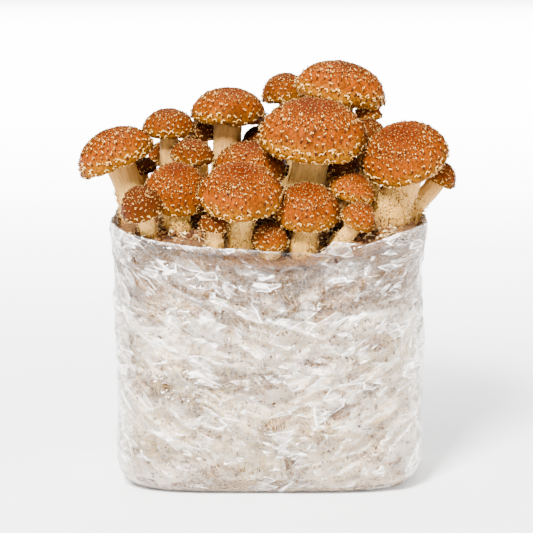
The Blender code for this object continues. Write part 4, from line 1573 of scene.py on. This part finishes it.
@dataclass(frozen=True)
class BlockFinish:
    """Colonised sawdust: white mycelium over brown and tan, with webs of fibres and small brown specks."""

    white: tuple = (0.84, 0.74, 0.61, 1.0)
    cream: tuple = (0.72, 0.49, 0.25, 1.0)
    beige: tuple = (0.33, 0.145, 0.02, 1.0)
    grey: tuple = (0.20, 0.10, 0.028, 1.0)
    brown: tuple = (0.12, 0.042, 0.006, 1.0)
    amber: tuple = (0.34, 0.12, 0.01, 1.0)
    dark: tuple = (0.02, 0.007, 0.002, 1.0)
    webs: tuple = ((70.0, 0.010, 0.6), (150.0, 0.018, 0.7), (330.0, 0.035, 0.75))

    def material(self) -> bpy.types.Material:
        """Colour by the attributes brown and deep, broken up by webs of ridged noise and by specks.

        Each web has a scale, a width and a strength. Each kind of speck has a scale, the share of cells
        without one, a colour and a reach.

        Returns:
            The block's material.
        """
        g = Graph("colonised_sawdust")
        place = g.place()
        warm = g.noise(place, 38.0, 4.0)
        broad = g.noise(place, 55.0, 4.0, 0.6)
        fine = g.noise(place, 520.0, 4.0, 0.65)
        web = None
        for scale, width, share in self.webs:
            swept = g.noise(g.stretched(place, (1.0, 1.0, 0.75)), scale, 5.0, 0.6)
            ridge = g.remap(g.math("ABSOLUTE", g.math("SUBTRACT", swept, 0.5)), 0.0, width, share, 0.0)
            web = ridge if web is None else g.math("MAXIMUM", web, ridge)
        patch = g.math(
            "ADD", g.math("MULTIPLY", g.attribute("brown"), 1.5), g.remap(broad, 0.35, 0.65, -0.4, 0.25)
        )
        colour = g.mix(g.remap(warm, 0.42, 0.7, 0.0, 0.45), self.white, self.cream)
        cloud = g.noise(g.stretched(place, (1.0, 1.0, 1.1)), 100.0, 8.0, 0.74)
        cloud = g.math("ADD", cloud, g.math("MULTIPLY", patch, 0.26))
        shade = g.mix(g.remap(g.noise(place, 45.0, 3.0), 0.42, 0.58), self.beige, self.grey)
        grit = g.remap(fine, 0.35, 0.65, 0.5, 1.2)
        colour = g.mix(g.math("MULTIPLY", g.remap(cloud, 0.45, 0.64, 0.05, 0.95), grit), colour, shade)
        pits = g.noise(g.stretched(place, (1.0, 1.0, 1.35)), 260.0, 8.0, 0.78)
        pits = g.math("ADD", pits, g.math("MULTIPLY", patch, 0.26))
        pit_colour = g.mix(g.remap(fine, 0.4, 0.6), self.brown, self.grey)
        colour = g.mix(g.remap(pits, 0.52, 0.64, 0.0, 0.85), colour, pit_colour)
        web = g.math("MULTIPLY", web, g.math("SUBTRACT", 1.0, g.attribute("deep")))
        colour = g.mix(g.math("MULTIPLY", web, g.remap(patch, 0.0, 1.0, 0.85, 0.5)), colour, self.white)
        specks = (
            (130.0, 0.72, self.brown, 0.24), (250.0, 0.5, self.dark, 0.2), (330.0, 0.5, self.amber, 0.24)
        )
        for scale, chosen, colours, reach in specks:
            cells = g.add("TexVoronoi", Vector=place, Scale=scale)
            pick = g.math(
                "GREATER_THAN", g.add("SeparateColor", Color=cells.outputs["Color"]).outputs[0], chosen
            )
            speck = g.math("MULTIPLY", g.remap(cells.outputs["Distance"], 0.4 * reach, reach, 0.9, 0.0), pick)
            colour = g.mix(speck, colour, colours)
        sawdust = g.remap(g.noise(place, 420.0, 4.0, 0.7), 0.42, 0.62, 1.0, 0.62)
        crumb = g.mix(g.remap(fine, 0.4, 0.6), self.dark, self.brown)
        # dark crumbs by deep over the top, a little darker in its hollows as painted shade
        colour = g.mix(g.math("MULTIPLY", g.attribute("deep"), sawdust), colour, crumb)
        height = g.math("ADD", fine, g.math("MULTIPLY", web, 0.5))
        pitted = g.math("MULTIPLY", g.math("MULTIPLY", sawdust, g.attribute("deep")), 5.0)
        height = g.math("SUBTRACT", height, pitted)
        shader = g.add(
            "BsdfPrincipled",
            Base_Color=colour,
            Roughness=g.remap(fine, 0.3, 0.7, 0.75, 0.95),
            Specular_IOR_Level=0.2,
            Normal=g.bump(height, 0.0005, 0.6),
        )
        return g.finish(shader)


@dataclass(frozen=True)
class GrainFinish:
    """Crumbs, chips and strands in brown, tan or cream by their attribute pale."""

    dark: tuple = (0.02, 0.006, 0.001, 1.0)
    brown: tuple = (0.10, 0.028, 0.004, 1.0)
    tan: tuple = (0.23, 0.098, 0.013, 1.0)
    cream: tuple = (0.85, 0.64, 0.30, 1.0)

    def material(self) -> bpy.types.Material:
        """Colour along a ramp from dark brown to cream."""
        g = Graph("grains")
        grain = g.remap(g.noise(g.place(), 900.0, 2.0), 0.3, 0.7, -0.06, 0.06)
        pale = g.math("ADD", g.attribute("pale"), grain)
        colour = g.ramp(pale, ((0.0, self.dark), (0.3, self.brown), (0.6, self.tan), (0.95, self.cream)))
        rough = g.remap(grain, -0.06, 0.06, 0.7, 0.9)
        shader = g.add("BsdfPrincipled", Base_Color=colour, Roughness=rough, Specular_IOR_Level=0.25)
        return g.finish(shader)


@dataclass
class Block:
    """The colonised block: sides a little inside the film, rounded shoulders and a crumbly top."""

    form: BagForm
    top: BlockTop
    view: PhotoView = field(default_factory=PhotoView)
    columns: int = 540
    side_rows: int = 128
    inset: float = 2.4
    power: float = BLOCK_POWER
    shoulder_width: float = 12.0
    shoulder_drop: float = 8.0
    top_rows: int = 30

    def crest(self, angle: Array, inset: Array | float) -> Array:
        """Place on the top face at an angle and a distance in from the side."""
        flat_place = self.form.wall(angle, np.full(np.shape(angle), 160.0), self.inset + inset, self.power)
        x, y = flat_place[..., 0], flat_place[..., 1]
        return flat(x, y, self.top.height(x, y))

    def surface(self) -> Surface:
        """Sides from the shoulder down to the flat base, and the top from the shoulder in to the middle."""
        form = self.form
        total = form.arcs()[1][-1]
        angle = form.angle_at(total * np.arange(self.columns) / self.columns)
        edge = self.crest(angle, 0.0)[:, 2] - self.shoulder_drop
        low = 1.2
        heights = low + (edge - low) * (1.0 - np.linspace(0.0, 1.0, self.side_rows)[:, None])
        angles = np.broadcast_to(angle, heights.shape)
        side = form.wall(angles, heights, self.inset, self.power)
        out = form.outward(angles)
        lumps = 0.25 * noise(side, 9.0, 71, 2) + 0.15 * noise(side, 3.2, 72)
        side = side + out * (lumps * smooth_step(0.0, 8.0, heights))[..., None]
        rows = []
        shoulder = np.array(
            ((0.02, 0.9), (0.08, 0.7), (0.22, 0.45), (0.4, 0.25), (0.6, 0.12), (0.8, 0.04), (1.0, 0.0))
        )
        for share, drop in shoulder[::-1]:
            place = self.crest(angle, share * self.shoulder_width)
            place[:, 2] -= drop * self.shoulder_drop
            rows.append(place)
        middle = self.crest(angle, self.shoulder_width)
        inner = []
        for shrink in np.linspace(0.02, 1.0, self.top_rows)[:-1]:
            x, y = middle[:, 0] * shrink, middle[:, 1] * shrink
            inner.append(flat(x, y, self.top.height(x, y)))
        top = np.array(inner + rows)
        rough = 1.1 * noise(top, 6.0, 73, 2) + 0.7 * noise(top, 2.6, 74, 2)
        top[..., 2] += rough * smooth_step(
            0.0, 3.0, np.broadcast_to(np.arange(len(top))[:, None], rough.shape)
        )
        base = side[-1].copy()
        base[:, 2] = 0.6
        base[:, :2] *= 0.99
        rings = np.concatenate([top, side, base[None]])
        count = len(rings) * self.columns
        points = np.concatenate(
            [rings.reshape(-1, 3), [[0.0, 0.0, float(self.top.height(0.0, 0.0))], [0.0, 0.0, 0.6]]]
        )
        last = np.arange(self.columns) + (len(rings) - 1) * self.columns
        faces = [
            grid_faces(len(rings), self.columns),
            fan_faces(count, np.arange(self.columns), True),
            fan_faces(count + 1, last, False),
        ]
        flank = rings[len(top) :]
        x, y, z = flank[..., 0], flank[..., 1], flank[..., 2]
        seen = oval_field(x, z, BROWN_PATCHES, self.view, form) * smooth_step(-15.0, -30.0, y)
        wild = smooth_step(0.3, 0.85, noise(flat(x, y, 1.4 * z), 24.0, 81, 3)) * smooth_step(-30.0, -15.0, y)
        wild = np.maximum(0.75 * wild, 0.5 * smooth_step(9.0, 2.0, z))
        wild = np.maximum(wild, 0.8 * smooth_step(108.0, 150.0, z + 20.0 * noise(flat(x, y, z), 17.0, 83, 2)))
        crust = 0.95 + 0.6 * noise(top, 14.0, 82, 2)
        # deep: share of dark crumb colour, 0.92 over the top and up to 1 in its hollows, that last part
        # painted shade
        deep = smooth_step(-0.2, -1.2, rough)
        brown = np.concatenate([crust.reshape(-1), np.maximum(seen, wild).reshape(-1), [0.4, 0.3]])
        deep = np.maximum(deep, 0.92)
        lip = 0.45 * smooth_step(6.0, 0.0, edge[None, :] - z[:-1])
        hollow = np.concatenate([deep.reshape(-1), lip.reshape(-1), np.zeros(self.columns), [0.7, 0.0]])
        return Surface(points, faces, {"brown": brown, "deep": hollow})

    def build(self) -> None:
        """Makes the block."""
        looks = BlockFinish().material()
        add_piece("substrate_mass", self.surface(), looks, ("substrate_block",))


@dataclass
class Grains:
    """Many small lumps: twenty-sided grains, squashed, turned and scattered."""

    centre: Array
    size: Array
    pale: Array
    flatten: Array
    normal: Array

    @staticmethod
    def template() -> tuple[Array, Array]:
        """The twelve points and twenty faces of a ball."""
        golden = 0.5 * (1.0 + math.sqrt(5.0))
        points = []
        for first in (-1.0, 1.0):
            for second in (-golden, golden):
                points += [(0.0, first, second), (first, second, 0.0), (second, 0.0, first)]
        array = np.array(points)
        array /= np.linalg.norm(array[0])
        faces = []
        edge = min(np.linalg.norm(array[0] - other) for other in array[1:]) * 1.01
        for a in range(12):
            for b in range(a + 1, 12):
                for c in range(b + 1, 12):
                    trio = array[[a, b, c]]
                    gaps = np.linalg.norm(trio - np.roll(trio, 1, axis=0), axis=1)
                    if gaps.max() < edge:
                        turn = np.dot(np.cross(trio[1] - trio[0], trio[2] - trio[0]), trio.sum(axis=0))
                        faces.append((a, b, c) if turn > 0 else (a, c, b))
        return array, np.array(faces)

    def surface(self, rng: np.random.Generator) -> Surface:
        """All the grains as one mesh."""
        ball, faces = self.template()
        count = len(self.centre)
        aside = unit(np.cross(self.normal, unit(rng.normal(size=(count, 3)))))
        other = np.cross(self.normal, aside)
        stretch = np.stack(
            [rng.uniform(0.7, 1.9, count), rng.uniform(0.55, 1.0, count), self.flatten], axis=1
        )
        local = ball[None] * (stretch * self.size[:, None])[:, None] * rng.uniform(0.75, 1.25, (count, 12, 1))
        turned_points = local[..., :1] * aside[:, None] + local[..., 1:2] * other[:, None]
        turned_points = turned_points + local[..., 2:] * self.normal[:, None]
        points = self.centre[:, None] + turned_points
        quads = (faces[None] + 12 * np.arange(count)[:, None, None]).reshape(-1, 3)
        return Surface(points.reshape(-1, 3), [quads], {"pale": np.repeat(self.pale, 12)})


@dataclass
class Strands:
    """Thin threads of mycelium: three-sided tubes along paths of points."""

    paths: Array
    width: Array
    pale: Array

    def surface(self) -> Surface:
        """All the threads as one mesh, each with its ends closed."""
        count, steps = self.paths.shape[:2]
        slope = unit(np.gradient(self.paths, axis=1))
        aside = unit(np.cross(slope, np.array([0.13, 0.29, 0.95])))
        other = np.cross(slope, aside)
        turns = np.radians([0.0, 120.0, 240.0])
        taper = np.sin(np.linspace(0.12, math.pi - 0.12, steps)) ** 0.5
        radius = 0.5 * self.width[:, None] * taper
        ring = np.cos(turns)[:, None] * aside[..., None, :] + np.sin(turns)[:, None] * other[..., None, :]
        points = self.paths[..., None, :] + radius[..., None, None] * ring
        row, corner = np.meshgrid(np.arange(steps - 1), np.arange(3), indexing="ij")
        after = (corner + 1) % 3
        first, second = row * 3 + corner, row * 3 + after
        quad = np.stack([first, second, second + 3, first + 3], axis=-1).reshape(-1, 4)
        base = (np.arange(count) * steps * 3)[:, None, None]
        ends = np.array([[0, 2, 1], [steps * 3 - 3, steps * 3 - 2, steps * 3 - 1]])
        faces = [(quad[None] + base).reshape(-1, 4), (ends[None] + base).reshape(-1, 3)]
        return Surface(points.reshape(-1, 3), faces, {"pale": np.repeat(self.pale, steps * 3)})


@dataclass
class Litter:
    """What lies on and in the block: crumbs and threads on top, and chips and threads under the film."""

    form: BagForm
    top: BlockTop
    view: PhotoView = field(default_factory=PhotoView)
    seed: int = 23
    crumbs: int = 7600
    chips: int = 4600
    threads: int = 420
    side_threads: int = 1700

    def on_top(self, rng: np.random.Generator, count: int) -> Array:
        """Random places over the block's top, more of them towards the front."""
        angle = rng.uniform(-math.pi, math.pi, count)
        share = rng.uniform(0.0, 1.0, count) ** 0.45
        x, y = self.form.outline(angle, 4.2)
        x, y = x * share, y * share
        edge = np.maximum(np.abs(x) / (self.form.half_width - 8.0), np.abs(y) / (self.form.half_depth - 8.0))
        return flat(x, y, self.top.height(x, y) - 7.0 * smooth_step(0.84, 1.02, edge))

    def on_side(self, arc: Array, height: Array, inset: float) -> tuple[Array, Array]:
        """Places on the block's side and their outward directions."""
        angle = self.form.angle_at(arc)
        return self.form.wall(angle, height, inset, BLOCK_POWER), self.form.outward(angle)

    def crumb_grains(self, rng: np.random.Generator) -> Surface:
        """Sawdust and small pieces of colonised bark on top."""
        centre = self.on_top(rng, self.crumbs)
        kind = rng.uniform(0.0, 1.0, self.crumbs)
        centre[:, 2] += rng.uniform(-0.4, 1.8, self.crumbs)
        pale = np.interp(kind, [0.0, 0.35, 0.7, 0.9, 1.0], [0.02, 0.25, 0.48, 0.72, 0.98])
        size = rng.uniform(0.35, 1.0, self.crumbs) ** 1.6 * 1.9
        up = unit(
            flat(rng.normal(0.0, 0.5, self.crumbs), rng.normal(0.0, 0.5, self.crumbs), np.ones(self.crumbs))
        )
        return Grains(centre, size, pale, rng.uniform(0.35, 0.9, self.crumbs), up).surface(rng)

    def chip_grains(self, rng: np.random.Generator) -> Surface:
        """Specks of sawdust against the film, with those that the picture shows at the front."""
        total = self.form.arcs()[1][-1]
        arc = rng.uniform(0.0, total, self.chips)
        height = rng.uniform(3.0, 160.0, self.chips)
        size = 0.35 + 0.55 * rng.uniform(0.0, 1.0, self.chips) ** 2.2
        pale = rng.uniform(0.15, 0.6, self.chips)
        seen = np.array(SPECKS)
        x, z = self.view.front(seen[:, 0], seen[:, 1], self.form)
        arc = np.concatenate([arc, self.form.arc_of(x)])
        height = np.concatenate([height, z])
        size = np.concatenate([size, seen[:, 2] * 0.36])
        pale = np.concatenate([pale, 0.55 - 0.4 * seen[:, 3]])
        place, out = self.on_side(arc, height, UNDER_FILM)
        return Grains(place, size, pale, np.full(len(arc), 0.35), out).surface(rng)

    def wander(
        self, rng: np.random.Generator, start: Array, heading: Array, step: float, steps: int, bend: float
    ) -> Array:
        """Paths over a plane that turn a little at each step."""
        turns = heading[:, None] + np.cumsum(rng.normal(0.0, bend, (len(start), steps)), axis=1)
        moves = np.stack([np.cos(turns), np.sin(turns)], axis=-1) * step
        return start[:, None] + np.cumsum(moves, axis=1)

    def top_threads(self, rng: np.random.Generator) -> Surface:
        """White threads over the crumbs."""
        start = self.on_top(rng, self.threads)[:, :2]
        paths = self.wander(rng, start, rng.uniform(0.0, 2.0 * math.pi, self.threads), 1.1, 9, 0.45)
        x, y = paths[..., 0], paths[..., 1]
        edge = np.maximum(np.abs(x) / (self.form.half_width - 6.0), np.abs(y) / (self.form.half_depth - 6.0))
        z = self.top.height(x, y) - 8.0 * smooth_step(0.84, 1.02, edge)
        z = z + rng.uniform(0.6, 2.2, (self.threads, 1)) + 1.0 * noise(flat(x, y), 4.0, 91)
        keep = edge.max(axis=1) < 1.0
        width = rng.uniform(0.25, 0.6, self.threads)
        return Strands(flat(x, y, z)[keep], width[keep], rng.uniform(0.7, 0.98, self.threads)[keep]).surface()

    def side_thread_paths(self, rng: np.random.Generator) -> Surface:
        """White threads that fan out from seeded centres under the film."""
        total = self.form.arcs()[1][-1]
        centres = 70
        hub = np.stack([rng.uniform(0.0, total, centres), rng.uniform(8.0, 126.0, centres)], axis=1)
        seen = np.array(THREAD_HUBS)
        x, z = self.view.front(seen[:, 0], seen[:, 1], self.form)
        hub = np.concatenate([hub, np.stack([self.form.arc_of(x), z], axis=1)])
        which = rng.integers(0, len(hub), self.side_threads)
        which[:150] = centres + rng.integers(0, len(seen), 150)
        heading = rng.uniform(0.0, 2.0 * math.pi, self.side_threads)
        offset = rng.uniform(0.0, 9.0, self.side_threads)
        start = hub[which] + offset[:, None] * np.stack([np.cos(heading), np.sin(heading)], axis=1)
        paths = self.wander(rng, start, heading, 1.5, 10, 0.12)
        arc = np.clip(paths[..., 0], 0.0, total)
        height = np.clip(paths[..., 1], 3.0, 136.0)
        place, _ = self.on_side(arc, height, UNDER_FILM)
        width, pale = rng.uniform(0.3, 0.65, self.side_threads), rng.uniform(0.92, 1.05, self.side_threads)
        return Strands(place, width, pale).surface()

    def build(self) -> None:
        """Makes all the litter."""
        grains = GrainFinish().material()
        rng = np.random.default_rng(self.seed)
        add_piece("substrate_crumbs", self.crumb_grains(rng), grains)
        add_piece("substrate_chips", self.chip_grains(rng), grains)
        add_piece("mycelium_top", self.top_threads(rng), grains)
        add_piece("mycelium_sides", self.side_thread_paths(rng), grains)


# Studio


@dataclass(frozen=True)
class Studio:
    """A pale floor, soft lights and the camera at the photograph's angle."""

    aim: tuple[float, float, float] = (-1.67, 0.0, 141.0)
    distance: float = 1300.0
    elevation: float = 11.0
    lens: float = 131.6
    surround: float = 0.2
    lamps: tuple = (
        ("key", (-420.0, -1060.0, 1300.0), 420.0, 150.0),
        ("front", (430.0, -1500.0, 500.0), 200.0, 14.0),
        ("left", (-1500.0, -350.0, 350.0), 700.0, 24.0),
        ("right", (1500.0, -350.0, 350.0), 700.0, 32.0),
    )
    backdrop: tuple = ("backdrop", (0.0, 3300.0, 2500.0), 4600.0, 1100.0)

    def camera(self) -> None:
        data = bpy.data.cameras.new("view")
        data.lens = self.lens
        data.sensor_width = 36.0
        data.clip_end = 50.0
        camera = bpy.data.objects.new("view", data)
        angle = math.radians(self.elevation)
        x, y, z = self.aim
        back, rise = self.distance * math.cos(angle), self.distance * math.sin(angle)
        camera.location = np.array([x, y - back, z + rise]) * MM
        camera.rotation_euler = (math.radians(90.0 - self.elevation), 0.0, 0.0)
        bpy.context.scene.collection.objects.link(camera)
        bpy.context.scene.camera = camera

    def light(self, name: str, place: tuple[float, float, float], size: float, power: float) -> None:
        data = bpy.data.lights.new(name, "AREA")
        data.energy = power
        data.size = size * MM
        lamp = bpy.data.objects.new(name, data)
        away = unit(np.array(place) - np.array([0.0, 0.0, 140.0]))
        lamp.location = np.array(place) * MM
        lamp.rotation_euler = (math.acos(away[2]), 0.0, math.atan2(away[1], away[0]) + 0.5 * math.pi)
        bpy.context.scene.collection.objects.link(lamp)

    def ceiling(self, name: str, place: tuple[float, float, float], size: float, power: float) -> None:
        data = bpy.data.lights.new(name, "AREA")
        data.energy = power
        data.size = size * MM
        data.spread = math.radians(70.0)
        lamp = bpy.data.objects.new(name, data)
        lamp.location = np.array(place) * MM
        bpy.context.scene.collection.objects.link(lamp)

    def floor(self) -> None:
        half = 6000.0
        corners = np.array([[-half, -half, 0.0], [half, -half, 0.0], [half, half, 0.0], [-half, half, 0.0]])
        g = Graph("floor")
        grain = g.remap(g.noise(g.place(), 30.0), 0.3, 0.7, 0.95, 0.97)
        pale = g.grey(grain)
        shader = g.add("BsdfPrincipled", Base_Color=pale, Roughness=0.8)
        mesh = Surface(corners, [np.array([[0, 1, 2, 3]])]).mesh("floor")
        mesh.materials.append(g.finish(shader))
        sheet = bpy.data.objects.new("floor", mesh)
        bpy.context.scene.collection.objects.link(sheet)

    def world(self) -> None:
        """An even pale surround."""
        world = bpy.data.worlds.new("surround")
        world.use_nodes = True
        background = world.node_tree.nodes["Background"]
        background.inputs["Color"].default_value = (1.0, 1.0, 1.0, 1.0)
        background.inputs["Strength"].default_value = self.surround
        bpy.context.scene.world = world

    def build(self) -> None:
        """Sets up the whole studio."""
        self.camera()
        self.floor()
        self.world()
        for lamp in self.lamps:
            self.light(*lamp)
        self.ceiling(*self.backdrop)


def main() -> None:
    logging.basicConfig(level=logging.INFO, format="%(name)s %(message)s")
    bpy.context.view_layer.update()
    Studio().build()
    form, top = BagForm(), BlockTop()
    Block(form, top).build()
    Litter(form, top).build()
    BagFilm(form, Wrinkles(form)).build()
    MushroomCrowd(top=top).build()


if __name__ == "__main__":
    main()
